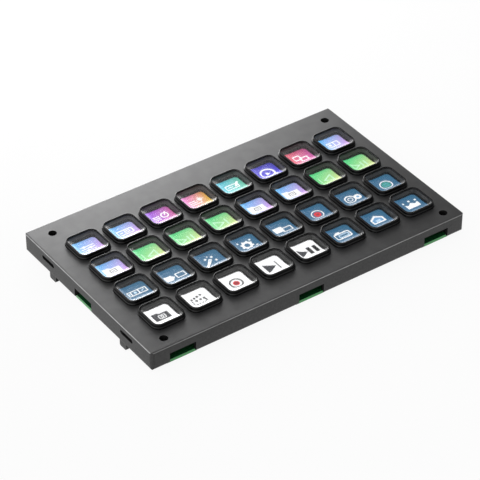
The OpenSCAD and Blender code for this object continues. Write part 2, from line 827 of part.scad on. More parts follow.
// A ribbon connector on the board, with its mouth toward the front
module ribbon_socket(x, ribbon_w) {
    w = ribbon_w + 2 * socket_side;
    translate([x, socket_y + socket_d / 2, 0])
        difference() {
            block(w, socket_d, board_top_z, socket_h);
            translate([0, -socket_d / 2 + socket_slot_d / 2, 0])
                block(ribbon_w + 2 * layer_gap, socket_slot_d,
                    ribbon_z + ribbon_t / 2 - socket_slot_h / 2, socket_slot_h);
        }
}

module screen_connector() {
    color([0.87, 0.85, 0.78]) ribbon_socket(ribbon_x, screen_ribbon_w);
}

module film_connector() {
    color([0.87, 0.85, 0.78]) ribbon_socket(-ribbon_x, film_tail_w);
}

// Pan-head screws that hold the board against the posts
module board_screws() {
    color([0.62, 0.63, 0.65]) at_each_screw()
        difference() {
            union() {
                translate([0, 0, board_z - screw_head_h]) cylinder(r = screw_head_r, h = screw_head_h);
                translate([0, 0, board_z - bite]) cylinder(r = screw_r, h = screw_len + bite);
            }
            for (turn = [0, 90]) rotate([0, 0, turn])
                block(2 * screw_r, cross_w, board_z - screw_head_h - cut, cross_h + cut);
        }
}

for (row = [1:key_rows], col = [1:key_cols])
    keycap(row, col);
tray();
switch_mat();
contact_film();
key_frame();
lcd_panel();
display_driver();
screen_ribbon();
diffuser_sheet();
light_guide();
reflector_sheet();
light_strip();
screen_back();
foam_pads();
main_board();
usb_shell();
usb_tongue();
processor();
memory_chip();
flash_chip();
power_chips();
chokes();
crystal();
capacitors();
resistors();
screen_connector();
film_connector();
board_screws();
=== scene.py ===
"""Looks of a panel-mount keypad with 32 clear display keys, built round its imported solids."""

import itertools
import json
import logging
import math
import random
from collections.abc import Callable, Iterable, Iterator, Sequence
from contextlib import contextmanager
from dataclasses import dataclass
from enum import Enum
from typing import Any

import bmesh
import bpy
from mathutils import Matrix, Vector

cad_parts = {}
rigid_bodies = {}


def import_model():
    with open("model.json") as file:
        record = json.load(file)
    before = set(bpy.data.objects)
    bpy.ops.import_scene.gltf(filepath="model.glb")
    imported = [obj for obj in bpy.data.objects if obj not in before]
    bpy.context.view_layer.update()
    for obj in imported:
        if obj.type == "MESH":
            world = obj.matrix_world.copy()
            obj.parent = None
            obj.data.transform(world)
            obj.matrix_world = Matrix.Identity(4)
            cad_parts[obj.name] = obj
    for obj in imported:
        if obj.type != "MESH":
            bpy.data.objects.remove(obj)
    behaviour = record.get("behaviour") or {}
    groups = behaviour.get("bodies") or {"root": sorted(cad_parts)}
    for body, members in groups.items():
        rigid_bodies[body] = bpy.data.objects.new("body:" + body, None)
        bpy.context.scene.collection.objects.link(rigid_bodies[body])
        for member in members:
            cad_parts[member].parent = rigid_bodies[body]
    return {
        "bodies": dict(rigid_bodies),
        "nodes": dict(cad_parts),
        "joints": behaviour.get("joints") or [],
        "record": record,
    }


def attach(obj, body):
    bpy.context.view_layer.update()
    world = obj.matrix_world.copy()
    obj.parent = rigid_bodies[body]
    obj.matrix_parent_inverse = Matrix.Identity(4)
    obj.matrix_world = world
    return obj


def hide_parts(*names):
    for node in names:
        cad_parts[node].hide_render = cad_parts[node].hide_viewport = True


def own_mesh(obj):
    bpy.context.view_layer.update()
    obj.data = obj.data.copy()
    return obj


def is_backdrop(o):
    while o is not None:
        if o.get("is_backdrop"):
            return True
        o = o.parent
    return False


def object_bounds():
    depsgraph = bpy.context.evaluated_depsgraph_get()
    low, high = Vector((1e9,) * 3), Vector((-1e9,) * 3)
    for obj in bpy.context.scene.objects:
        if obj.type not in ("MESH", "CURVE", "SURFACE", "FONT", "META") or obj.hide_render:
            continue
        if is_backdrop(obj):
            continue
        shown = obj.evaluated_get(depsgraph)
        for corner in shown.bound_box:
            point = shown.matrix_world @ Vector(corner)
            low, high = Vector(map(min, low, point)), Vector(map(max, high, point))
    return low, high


Point = tuple[float, float, float]
Flat = tuple[float, float]
Colour = tuple[float, float, float]
Socket = bpy.types.NodeSocket

MM = 0.001
CHASSIS = "chassis"
PLAIN: Colour = (1.0, 1.0, 1.0)
SIDES = (-1.0, 1.0)
TRAY_HALF: Flat = (95.0, 57.25)
BOLTS: tuple[Flat, ...] = ((-83.6, -50.75), (86.4, -50.75), (86.4, 48.75), (-83.6, 48.75))
log = logging.getLogger("keypad")


# ---------------------------------------------------------------- sizes


@dataclass(frozen=True)
class KeyGrid:
    """Places of the keys on the tray, in millimetres. Row 1 is the back row, column 1 the left one."""

    columns: int = 8
    rows: int = 4
    pitch_x: float = 21.8
    pitch_y: float = 21.8
    middle_x: float = 1.7
    middle_y: float = -2.8

    def places(self) -> list[tuple[int, int]]:
        """Returns every row and column, row by row."""
        return [(row, col) for row in range(1, self.rows + 1) for col in range(1, self.columns + 1)]

    def centre(self, row: int, col: int) -> Flat:
        """Returns the middle of the key in a row and column, in the plane of the face."""
        return (self.middle_x + (col - (self.columns + 1) / 2) * self.pitch_x,
                self.middle_y + ((self.rows + 1) / 2 - row) * self.pitch_y)


@dataclass(frozen=True)
class Levels:
    """Heights of the stacked parts above the lugs' lower ends, in millimetres."""

    board_under: float = 2.4
    board_top: float = 4.0
    screen_top: float = 8.4
    core_end: float = 9.8
    lip_under: float = 10.6
    lip_top: float = 11.6
    face: float = 13.4
    step: float = 14.5
    key_top: float = 16.0


LEVELS = Levels()


# ---------------------------------------------------------------- node trees


class Nodes:
    """A node tree that is built node by node."""

    def __init__(self, tree: bpy.types.NodeTree, prefix: str = "ShaderNode") -> None:
        """Takes the tree and what the names of its nodes' types start with."""
        self.tree = tree
        self.prefix = prefix

    def feed(self, socket: Socket, value: Any) -> None:
        """Links or sets an input.

        Args:
            socket: The input.
            value: An output socket, a number, a vector or a colour of three or four parts.
        """
        if isinstance(value, bpy.types.NodeSocket):
            self.tree.links.new(value, socket)
        elif isinstance(socket, bpy.types.NodeSocketColor) and len(value) == 3:
            socket.default_value = (*value, 1.0)
        else:
            socket.default_value = value

    def node(self, kind: str, inputs: dict[str | int, Any] | None = None, **settings: Any) -> bpy.types.Node:
        """Adds a node.

        Args:
            kind: Type of the node, without the prefix.
            inputs: Input names or numbers with the output socket or the value for each.
            settings: Properties of the node.

        Returns:
            The node.
        """
        made = self.tree.nodes.new(self.prefix + kind)
        for key, value in settings.items():
            setattr(made, key, value)
        for key, value in (inputs or {}).items():
            self.feed(made.inputs[key], value)
        return made

    def maths(self, operation: str, *values: float | Socket) -> Socket:
        """Returns the result of an operation on the values."""
        return self.node("Math", dict(enumerate(values)), operation=operation).outputs[0]


class Shader(Nodes):
    """Builds one material's nodes round a Principled shader."""

    def __init__(self, name: str, **values: Any) -> None:
        """Starts a material.

        Args:
            name: Name of the material.
            values: Inputs of the Principled shader, with underscores for blanks.
        """
        self.material = bpy.data.materials.new(name)
        self.material.use_nodes = True
        super().__init__(self.material.node_tree)
        self.tree.nodes.clear()
        self.out = self.node("OutputMaterial")
        self.main = self.node("BsdfPrincipled")
        self.feed(self.out.inputs[0], self.main.outputs[0])
        self.set(**values)
        self.place = self.node("TexCoord").outputs["Object"]

    def set(self, **values: Any) -> None:
        """Sets or links inputs of the Principled shader, named with underscores for blanks."""
        for key, value in values.items():
            self.feed(self.main.inputs[key.replace("_", " ")], value)

    def grain(self, size: float, detail: float = 2.0, stretch: Point = (1.0, 1.0, 1.0)) -> Socket:
        """Adds noise.

        Args:
            size: Size of its blots in millimetres.
            detail: Number of finer layers.
            stretch: How much closer the blots lie along each axis.

        Returns:
            The noise, from 0 to 1.
        """
        moved = self.node("Mapping", {"Vector": self.place, "Scale": stretch}).outputs[0]
        return self.node("TexNoise", {"Vector": moved, "Scale": 1 / (size * MM), "Detail": detail}).outputs[0]

    def between(self, factor: Socket, low: float, high: float) -> Socket:
        """Returns the middle third of a 0 to 1 value, spread over a range."""
        return self.node("MapRange", {"Value": factor, "From Min": 0.35, "From Max": 0.65,
                                      "To Min": low, "To Max": high}).outputs[0]

    def shade(self, share: Socket, first: Colour | Socket, second: Colour | Socket) -> Socket:
        """Returns the mix of two colours, the first where the share is 0."""
        return self.node("Mix", {0: share, 6: first, 7: second}, data_type="RGBA").outputs[2]

    def blend(self, share: Socket, other: Socket) -> None:
        """Puts out a mix with another shader, all of it where the share is 1."""
        self.feed(self.out.inputs[0],
                  self.node("MixShader", {0: share, 1: self.main.outputs[0], 2: other}).outputs[0])

    def bump(self, height: Socket, depth: float, strength: float = 1.0) -> None:
        """Lets a 0 to 1 pattern, so many millimetres high, tilt the surface."""
        self.set(Normal=self.node("Bump", {"Height": height, "Distance": depth * MM,
                                           "Strength": strength}).outputs[0])

    def sideways(self) -> Socket:
        """Returns 1 on upright faces and 0 on level ones."""
        parts = self.node("SeparateXYZ", {0: self.node("NewGeometry").outputs["Normal"]})
        return self.maths("LESS_THAN", self.maths("ABSOLUTE", parts.outputs["Z"]), 0.5)


# ---------------------------------------------------------------- finishes


@dataclass(frozen=True)
class Grained:
    """A finish with fine grain: blotches in its colour and gloss, and a small relief."""

    name: str
    dark: Colour
    light: Colour
    roughness: Flat
    blotch: float
    grain: float
    depth: float
    specular: float = 0.5
    metallic: float = 0.0
    stretch: Point = (1.0, 1.0, 1.0)

    def make(self) -> bpy.types.Material:
        """Returns the material."""
        shader = Shader(self.name, Metallic=self.metallic, Specular_IOR_Level=self.specular)
        blotch = shader.between(shader.grain(self.blotch, 3.0, self.stretch), 0.0, 1.0)
        grain = shader.grain(self.grain, 2.0, self.stretch)
        shader.set(Base_Color=shader.shade(blotch, self.dark, self.light),
                   Roughness=shader.between(grain, *self.roughness))
        shader.bump(grain, self.depth)
        return shader.material


@dataclass(frozen=True)
class BoardGreen:
    """Green solder mask over a copper pattern, kept very dark partly as painted shade, with a paler edge that is
    partly the bare board's own colour and partly a painted highlight.
    """

    name: str = "board green"
    mask: Colour = (0.002, 0.035, 0.009)
    copper: Colour = (0.003, 0.052, 0.014)
    edge: Colour = (0.02, 0.22, 0.045)
    pattern: float = 9.0

    def make(self) -> bpy.types.Material:
        """Returns the material."""
        shader = Shader(self.name, Specular_IOR_Level=0.5, Coat_Weight=0.35, Coat_Roughness=0.12)
        lines = shader.node("TexBrick", {
            "Vector": shader.place, "Scale": 1 / (self.pattern * MM), "Mortar Size": 0.012, "Mortar Smooth": 0.3,
            "Brick Width": 0.9, "Row Height": 0.35, "Color1": PLAIN, "Color2": PLAIN, "Mortar": (0, 0, 0)})
        pattern = lines.outputs["Color"]
        face = shader.shade(pattern, self.mask, self.copper)
        # Upright faces are paler: the bare board's edge, and partly a painted highlight.
        shader.set(Base_Color=shader.shade(shader.sideways(), face, self.edge),
                   Roughness=shader.between(shader.grain(0.4, 2.0), 0.3, 0.42))
        shader.bump(pattern, 0.03, 0.5)
        return shader.material


@dataclass(frozen=True)
class ClearPlastic:
    """Polished clear plastic that lets the lamps through."""

    name: str = "clear key plastic"
    tint: Colour = (0.97, 0.975, 0.98)
    ior: float = 1.49

    def make(self) -> bpy.types.Material:
        """Returns the material."""
        shader = Shader(self.name, Base_Color=self.tint, Transmission_Weight=1.0, IOR=self.ior)
        shader.set(Roughness=shader.between(shader.grain(1.6, 4.0), 0.12, 0.15))
        shader.blend(shader.node("LightPath").outputs["Is Shadow Ray"],
                     shader.node("BsdfTransparent", {"Color": self.tint}).outputs[0])
        return shader.material


@dataclass(frozen=True)
class LitPicture:
    """The lit picture of the screen, from the colours kept on its points, behind a fine raster."""

    name: str = "lit picture"
    strength: float = 1.18
    line: float = 0.8

    def make(self) -> bpy.types.Material:
        """Returns the material."""
        shader = Shader(self.name, Base_Color=(0.01, 0.01, 0.012), Roughness=0.35, Emission_Strength=self.strength)
        paint = shader.node("Attribute", attribute_name="picture").outputs["Color"]
        raster = shader.node("TexWave", {"Vector": shader.place, "Scale": 1 / (self.line * MM)}, bands_direction="X")
        level = shader.node("MapRange", {"Value": raster.outputs["Fac"], "To Min": 0.97, "To Max": 1.0})
        dimmed = shader.node("VectorMath", {0: paint, "Scale": level.outputs[0]}, operation="SCALE")
        shader.set(Emission_Color=dimmed.outputs[0])
        return shader.material


@dataclass(frozen=True)
class StudioFloor:
    """A pale floor that keeps a faint shadow and looks nearly white in mirrors and to the camera."""

    name: str = "studio floor"
    glow: float = 0.92

    def make(self) -> bpy.types.Material:
        """Returns the material."""
        shader = Shader(self.name, Base_Color=(0.8, 0.8, 0.8), Roughness=0.9, Specular_IOR_Level=0.0)
        rays = shader.node("LightPath").outputs
        seen = shader.maths("MAXIMUM", rays["Is Camera Ray"], rays["Is Glossy Ray"])
        shown = shader.maths("MAXIMUM", seen, rays["Is Transmission Ray"])
        white = shader.node("Emission", {"Color": PLAIN, "Strength": 1.0}).outputs[0]
        shader.blend(shader.maths("MULTIPLY", shown, self.glow), white)
        return shader.material


class Finish(Enum):
    """Every finish of the keypad and its floor."""

    TRAY = Grained("satin tray face", (0.142, 0.142, 0.143), (0.158, 0.158, 0.159), (0.38, 0.43), 7.0, 0.12, 0.002,
                   metallic=1.0)
    # Painted shade: the upright faces take a darker, less shiny finish than the face of the same sheet; their coarser
    # grain is real.
    TRAY_SIDE_SHADE = Grained("grained tray side in painted shade", (0.018, 0.018, 0.018), (0.030, 0.030, 0.030), (0.34, 0.46), 0.8, 0.3,
                        0.02, 0.3)
    # Painted highlight: a lighter metal on the lower part of the break round the top, standing in for the light it
    # catches.
    TRAY_EDGE_HIGHLIGHT = Grained("tray edge with painted highlight", (0.26, 0.26, 0.26), (0.34, 0.34, 0.34), (0.3, 0.38), 4.0, 0.2, 0.002,
                        metallic=1.0)
    # Painted shade: near-black put in the tray's bolt holes and on its inside, where shade falls; it also makes the
    # black upper band inside each key.
    SHADE_AND_BLACK_BAND = Grained("painted shade and black band", (0.004, 0.004, 0.004), (0.007, 0.007, 0.007), (0.6, 0.7), 1.0, 0.2, 0.003, 0.15)
    SKIRT = Grained("black key gloss", (0.0010, 0.0010, 0.0012), (0.0020, 0.0020, 0.0022), (0.09, 0.14), 3.0, 0.3,
                    0.001, 0.38)
    WELL = Grained("dark key well", (0.11, 0.11, 0.108), (0.15, 0.15, 0.147), (0.6, 0.75), 1.0, 0.2, 0.003, 0.3)
    CLEAR = ClearPlastic()
    PICTURE = LitPicture()
    FLOOR = StudioFloor()
    SILICONE = Grained("grey silicone", (0.03, 0.03, 0.032), (0.042, 0.042, 0.044), (0.6, 0.75), 2.0, 0.25, 0.006,
                       0.35)
    AMBER = Grained("amber film", (0.42, 0.17, 0.035), (0.55, 0.25, 0.06), (0.2, 0.3), 3.0, 0.5, 0.002)
    SMOKED = Grained("smoked contact film", (0.010, 0.008, 0.006), (0.016, 0.012, 0.009), (0.3, 0.4), 3.0, 0.5, 0.002,
                     0.4)
    FRAME = Grained("black frame plastic", (0.012, 0.012, 0.013), (0.02, 0.02, 0.021), (0.45, 0.6), 2.0, 0.12, 0.008,
                    0.4)
    GLASS = Grained("dark screen glass", (0.006, 0.007, 0.009), (0.01, 0.011, 0.013), (0.05, 0.09), 8.0, 1.0, 0.0005)
    WHITE_FILM = Grained("white film", (0.72, 0.72, 0.73), (0.8, 0.8, 0.81), (0.4, 0.55), 5.0, 0.3, 0.003, 0.4)
    GUIDE = Grained("light guide", (0.7, 0.76, 0.78), (0.78, 0.83, 0.85), (0.12, 0.2), 5.0, 0.8, 0.001)
    LAMPS = Grained("lamp strip", (0.7, 0.66, 0.42), (0.82, 0.78, 0.55), (0.35, 0.5), 3.0, 0.3, 0.003)
    STEEL = Grained("rolled steel", (0.42, 0.42, 0.44), (0.52, 0.52, 0.54), (0.28, 0.42), 3.0, 0.25, 0.002,
                    metallic=1.0, stretch=(1.0, 8.0, 8.0))
    SCREW = Grained("zinc screw", (0.5, 0.5, 0.52), (0.62, 0.62, 0.64), (0.25, 0.38), 0.8, 0.1, 0.003, metallic=1.0)
    FOAM = Grained("black foam", (0.014, 0.014, 0.015), (0.03, 0.03, 0.031), (0.85, 0.95), 0.5, 0.25, 0.08, 0.2)
    BOARD = BoardGreen()
    CHIP = Grained("moulded chip black", (0.012, 0.012, 0.013), (0.02, 0.02, 0.021), (0.5, 0.65), 1.5, 0.08, 0.006,
                   0.4)
    FERRITE = Grained("choke ferrite", (0.05, 0.05, 0.052), (0.08, 0.08, 0.083), (0.55, 0.7), 0.8, 0.1, 0.012, 0.4)
    CERAMIC = Grained("capacitor ceramic", (0.30, 0.20, 0.11), (0.38, 0.26, 0.15), (0.35, 0.5), 0.5, 0.08, 0.003)
    CONNECTOR = Grained("ivory connector plastic", (0.62, 0.57, 0.46), (0.7, 0.65, 0.54), (0.4, 0.5), 1.5, 0.15,
                        0.004)
    TIN = Grained("bright tin", (0.6, 0.6, 0.6), (0.72, 0.72, 0.71), (0.2, 0.35), 0.4, 0.08, 0.004, metallic=1.0)
    GOLD = Grained("gold pads", (0.75, 0.52, 0.2), (0.85, 0.62, 0.28), (0.2, 0.3), 0.6, 0.1, 0.002, metallic=1.0)
    TRACK = Grained("covered track", (0.008, 0.13, 0.04), (0.012, 0.17, 0.05), (0.28, 0.38), 2.0, 0.3, 0.002)
    INK = Grained("white board ink", (0.7, 0.7, 0.68), (0.8, 0.8, 0.78), (0.6, 0.7), 0.6, 0.1, 0.004, 0.3)

    @property
    def material(self) -> bpy.types.Material:
        """Returns the material, made at its first use."""
        return bpy.data.materials.get(self.value.name) or self.value.make()


# ---------------------------------------------------------------- mesh tools


def linear(code: str) -> Colour:
    """Turns a screen colour into the linear values that shaders take.

    Args:
        code: Six hexadecimal digits, red first.

    Returns:
        Linear red, green and blue.
    """
    values = [int(code[i : i + 2], 16) / 255 for i in (0, 2, 4)]
    red, green, blue = (v / 12.92 if v <= 0.04045 else ((v + 0.055) / 1.055) ** 2.4 for v in values)
    return red, green, blue


def circle(radius: float, sides: int) -> list[Flat]:
    """Returns points round the origin, anticlockwise."""
    return [(radius * math.cos(t), radius * math.sin(t)) for t in (2 * math.pi * i / sides for i in range(sides))]


def rounded_square(half: float, radius: float, steps: int = 8, half_y: float | None = None) -> list[Flat]:
    """Walks round a square with round corners, anticlockwise.

    Args:
        half: Half of the width.
        radius: Radius of the corners.
        steps: Segments in each corner.
        half_y: Half of the depth where it differs from the width.

    Returns:
        The corner points, the same number for every size.
    """
    deep = half if half_y is None else half_y
    points: list[Flat] = []
    for quarter, (sx, sy) in enumerate(((1, 1), (-1, 1), (-1, -1), (1, -1))):
        for step in range(steps + 1):
            turn = math.radians(90 * quarter + 90 * step / steps)
            points.append((sx * (half - radius) + radius * math.cos(turn),
                           sy * (deep - radius) + radius * math.sin(turn)))
    return points


def put(name: str, data: bpy.types.ID) -> bpy.types.Object:
    """Returns a new object in the scene that holds the data."""
    made = bpy.data.objects.new(name, data)
    bpy.context.scene.collection.objects.link(made)
    return made


def baked(holder: bpy.types.Object) -> bpy.types.Mesh:
    """Returns what an object's modifiers make of its mesh, and removes the object."""
    mesh = bpy.data.meshes.new_from_object(holder.evaluated_get(bpy.context.evaluated_depsgraph_get()))
    bpy.data.objects.remove(holder)
    return mesh


@contextmanager
def opened(mesh: bpy.types.Mesh, result: bpy.types.Mesh | None = None) -> Iterator[bmesh.types.BMesh]:
    """Opens a mesh for work.

    Args:
        mesh: The mesh.
        result: Mesh that takes the result, where it isn't the same one.

    Yields:
        The open mesh, which is written back at the end.
    """
    work = bmesh.new()
    work.from_mesh(mesh)
    yield work
    work.to_mesh(result or mesh)
    work.free()


def cut(work: bmesh.types.BMesh, faces: Sequence[bmesh.types.BMFace], place: Point, way: Point,
        near: float = 0.0) -> None:
    """Cuts faces along a plane.

    Args:
        work: The open mesh.
        faces: The faces.
        place: A point of the plane, in millimetres.
        way: Direction square to the plane.
        near: Distance in metres below which a corner counts as on the plane.
    """
    parts = {*faces, *(edge for face in faces for edge in face.edges), *(v for face in faces for v in face.verts)}
    bmesh.ops.bisect_plane(work, geom=list(parts), dist=near, plane_co=Vector(place) * MM, plane_no=way)


def finish_mesh(name: str, mesh: bpy.types.Mesh, finishes: Sequence[Finish], smooth: float = 30.0,
                turn_out: bool = True) -> bpy.types.Object:
    """Cleans a mesh, dresses it and puts it in the scene.

    Args:
        name: Name of the object.
        mesh: Mesh in metres.
        finishes: Finishes, one for each slot.
        smooth: Angle in degrees below which neighbouring faces shade as one.
        turn_out: Whether to turn closed shapes outwards.

    Returns:
        The object.
    """
    if turn_out:
        with opened(mesh) as work:
            bmesh.ops.recalc_face_normals(work, faces=work.faces)
    mesh.name = name
    slots = [face.material_index for face in mesh.polygons]
    mesh.materials.clear()
    for finish in finishes:
        mesh.materials.append(finish.material)
    mesh.polygons.foreach_set("material_index", [min(slot, len(finishes) - 1) for slot in slots])
    mesh.polygons.foreach_set("use_smooth", [True] * len(mesh.polygons))
    mesh.set_sharp_from_angle(angle=math.radians(smooth))
    return put(name, mesh)


def ride(piece: bpy.types.Object, body: str, slot: str, *replaced: str) -> bpy.types.Object:
    """Hands a piece over to its body.

    Args:
        piece: The finished object.
        body: Body that it moves with.
        slot: Material slot of the record; not used.
        replaced: Solids that it stands for.

    Returns:
        The same object.
    """
    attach(piece, body)
    if replaced:
        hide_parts(*replaced)
    return piece


def islands(*nodes: str) -> list[tuple[Vector, Vector]]:
    """Finds the box of each separate solid in some nodes.

    Args:
        nodes: Names of the nodes.

    Returns:
        Lowest and highest corner of each solid, in millimetres.
    """
    every: list[tuple[Vector, Vector]] = []
    for node in nodes:
        work = bmesh.new()
        work.from_mesh(bpy.data.objects[node].data)
        bmesh.ops.remove_doubles(work, verts=work.verts, dist=1e-7)
        left = set(work.verts)
        boxes: list[tuple[Vector, Vector]] = []
        while left:
            todo, found = [left.pop()], []
            while todo:
                vert = todo.pop()
                found.append(vert.co / MM)
                near = {edge.other_vert(vert) for edge in vert.link_edges} & left
                left -= near
                todo += near
            low, high = (Vector([pick(co[i] for co in found) for i in range(3)]) for pick in (min, max))
            boxes.append((low, high))
        work.free()
        every += sorted(boxes, key=lambda box: tuple(round(v, 3) for v in box[0]))
    return every


class Draft:
    """Collects faces in millimetres and makes one object of them in metres."""

    def __init__(self) -> None:
        """Starts with nothing."""
        self.points: list[Point] = []
        self.faces: list[tuple[int, ...]] = []
        self.colours: list[Colour] = []

    def add(self, points: Iterable[Point], faces: Iterable[Sequence[int]],
            colours: Colour | Sequence[Colour] = PLAIN) -> None:
        """Adds points and the faces between them.

        Args:
            points: Corner points.
            faces: Indices into those points.
            colours: One colour for all the points, or one for each.
        """
        start = len(self.points)
        self.points.extend(points)
        single = isinstance(colours[0], float)
        self.colours.extend([colours] * (len(self.points) - start) if single else colours)
        self.faces.extend(tuple(start + i for i in face) for face in faces)

    def loft(self, rings: Sequence[Sequence[Point]], colours: Colour | Sequence[Colour] = PLAIN,
             closed: bool = False) -> None:
        """Adds a skin over rings of equally many points.

        Args:
            rings: The rings, from one end to the other.
            colours: One colour for all the points, or one for each.
            closed: Whether the last ring joins the first one. The ends get caps where it doesn't.
        """
        count, total = len(rings[0]), len(rings)
        faces: list[Sequence[int]] = []
        for first in range(total if closed else total - 1):
            a, b = first * count, (first + 1) % total * count
            faces += [(a + i, a + (i + 1) % count, b + (i + 1) % count, b + i) for i in range(count)]
        if not closed:
            faces += [tuple(reversed(range(count))), tuple(range((total - 1) * count, total * count))]
        self.add([point for ring in rings for point in ring], faces, colours)

    def prism(self, outline: Sequence[Flat], low: float, high: float) -> None:
        """Adds a plate with the given outline, from its low to its high side."""
        self.loft([[(x, y, z) for x, y in outline] for z in (low, high)])

    def build(self, name: str, finish: Finish, smooth: float = 30.0, turn_out: bool = True) -> bpy.types.Object:
        """Makes the object.

        Args:
            name: Name of the object.
            finish: Its finish.
            smooth: Angle in degrees below which neighbouring faces shade as one.
            turn_out: Whether to turn closed shapes outwards.

        Returns:
            The object, at the origin, with its place in its mesh.
        """
        mesh = bpy.data.meshes.new(name)
        mesh.from_pydata([Vector(point) * MM for point in self.points], [], self.faces)
        paint = mesh.attributes.new("picture", "FLOAT_COLOR", "POINT")
        paint.data.foreach_set("color", [c for colour in self.colours for c in (*colour, 1.0)])
        return finish_mesh(name, mesh, [finish], smooth, turn_out)


# ---------------------------------------------------------------- repeated shapes


class Tree(Nodes):
    """A Geometry Nodes tree with named inputs, which ends in real geometry with its finish set."""

    def __init__(self, name: str, **inputs: str) -> None:
        """Starts a tree.

        Args:
            name: Name of the tree.
            inputs: Name of each input, with underscores for blanks, and its socket type.
        """
        super().__init__(bpy.data.node_groups.new(name, "GeometryNodeTree"), "GeometryNode")
        face = self.tree.interface
        face.new_socket("Shape", in_out="INPUT", socket_type="NodeSocketGeometry")
        self.keys: dict[str, str] = {}
        for key, kind in {**inputs, "Finish": "Material"}.items():
            socket = face.new_socket(key.replace("_", " "), in_out="INPUT", socket_type="NodeSocket" + kind)
            self.keys[key] = socket.identifier
        face.new_socket("Shape", in_out="OUTPUT", socket_type="NodeSocketGeometry")
        self.given = self.tree.nodes.new("NodeGroupInput").outputs
        self.end = self.tree.nodes.new("NodeGroupOutput")

    def close(self, shape: Socket) -> None:
        """Ends the tree in real geometry with its finish."""
        real = self.node("RealizeInstances", {"Geometry": shape}).outputs[0]
        dressed = self.node("SetMaterial", {"Geometry": real, "Material": self.given["Finish"]})
        self.feed(self.end.inputs[0], dressed.outputs[0])

    def close_on_points(self, shape: Socket) -> None:
        """Ends the tree in one copy of a shape on each point."""
        self.close(self.node("InstanceOnPoints", {"Points": self.given["Shape"], "Instance": shape}).outputs[0])

    def make(self, name: str, points: Iterable[Point], edges: Iterable[tuple[int, int]], finish: Finish,
             smooth: float = 30.0, **values: Any) -> bpy.types.Object:
        """Runs the tree on points and edges and keeps the result as a plain mesh.

        Args:
            name: Name of the piece.
            points: Points in millimetres.
            edges: Edges between them.
            finish: Finish of the result.
            smooth: Angle in degrees below which neighbouring faces shade as one.
            values: Values of the named inputs, lengths in millimetres.

        Returns:
            The object, at the origin, with its place in its mesh.
        """
        seed = bpy.data.meshes.new(name)
        seed.from_pydata([Vector(point) * MM for point in points], list(edges), [])
        holder = put(name + ".seed", seed)
        modifier = holder.modifiers.new("repeat", "NODES")
        modifier.node_group = self.tree
        for key, value in values.items():
            if isinstance(value, tuple):
                value = tuple(v * MM for v in value)
            elif isinstance(value, float):
                value *= MM
            modifier[self.keys[key]] = value
        modifier[self.keys["Finish"]] = finish.material
        mesh = baked(holder)
        bpy.data.meshes.remove(seed)
        return finish_mesh(name, mesh, [finish], smooth)


class Repeats:
    """The trees that make what repeats or follows a path."""

    def __init__(self) -> None:
        """Builds the trees."""
        self.sweep = self._sweep()
        self.blocks = self._blocks()
        self.discs = self._discs()
        self.tracks = self._tracks()

    @staticmethod
    def _sweep() -> Tree:
        """Returns a tree that sweeps a profile round a square with round corners."""
        tree = Tree("sweep round a key", Path_Width="Float", Corner_Radius="Float", Corner_Steps="Int")
        width = tree.given["Path Width"]
        square = tree.node("CurvePrimitiveQuadrilateral", {"Width": width, "Height": width}).outputs[0]
        path = tree.node("FilletCurve", {"Curve": square, "Radius": tree.given["Corner Radius"],
                                         "Count": tree.given["Corner Steps"]}, mode="POLY").outputs[0]
        profile = tree.node("MeshToCurve", {"Mesh": tree.given["Shape"]}).outputs[0]
        tree.close(tree.node("CurveToMesh", {"Curve": path, "Profile Curve": profile}).outputs[0])
        return tree

    @staticmethod
    def _blocks() -> Tree:
        """Returns a tree that puts a small block on each point."""
        tree = Tree("blocks on points", Size="Vector")
        tree.close_on_points(tree.node("MeshCube", {"Size": tree.given["Size"]}).outputs[0])
        return tree

    @staticmethod
    def _discs() -> Tree:
        """Returns a tree that puts a thin disc on each point."""
        tree = Tree("discs on points", Radius="Float", Height="Float", Sides="Int")
        tree.close_on_points(tree.node("MeshCylinder", {
            "Vertices": tree.given["Sides"], "Radius": tree.given["Radius"],
            "Depth": tree.given["Height"]}).outputs[0])
        return tree

    @staticmethod
    def _tracks() -> Tree:
        """Returns a tree that lays a flat strip along lines."""
        tree = Tree("strips along lines", Width="Float", Height="Float")
        line = tree.node("MeshToCurve", {"Mesh": tree.given["Shape"]}).outputs[0]
        level = tree.node("SetCurveNormal", {"Curve": line}, mode="Z_UP").outputs[0]
        section = tree.node("CurvePrimitiveQuadrilateral",
                            {"Width": tree.given["Width"], "Height": tree.given["Height"]}).outputs[0]
        tree.close(tree.node("CurveToMesh", {"Curve": level, "Profile Curve": section,
                                             "Fill Caps": True}).outputs[0])
        return tree


# ---------------------------------------------------------------- tray


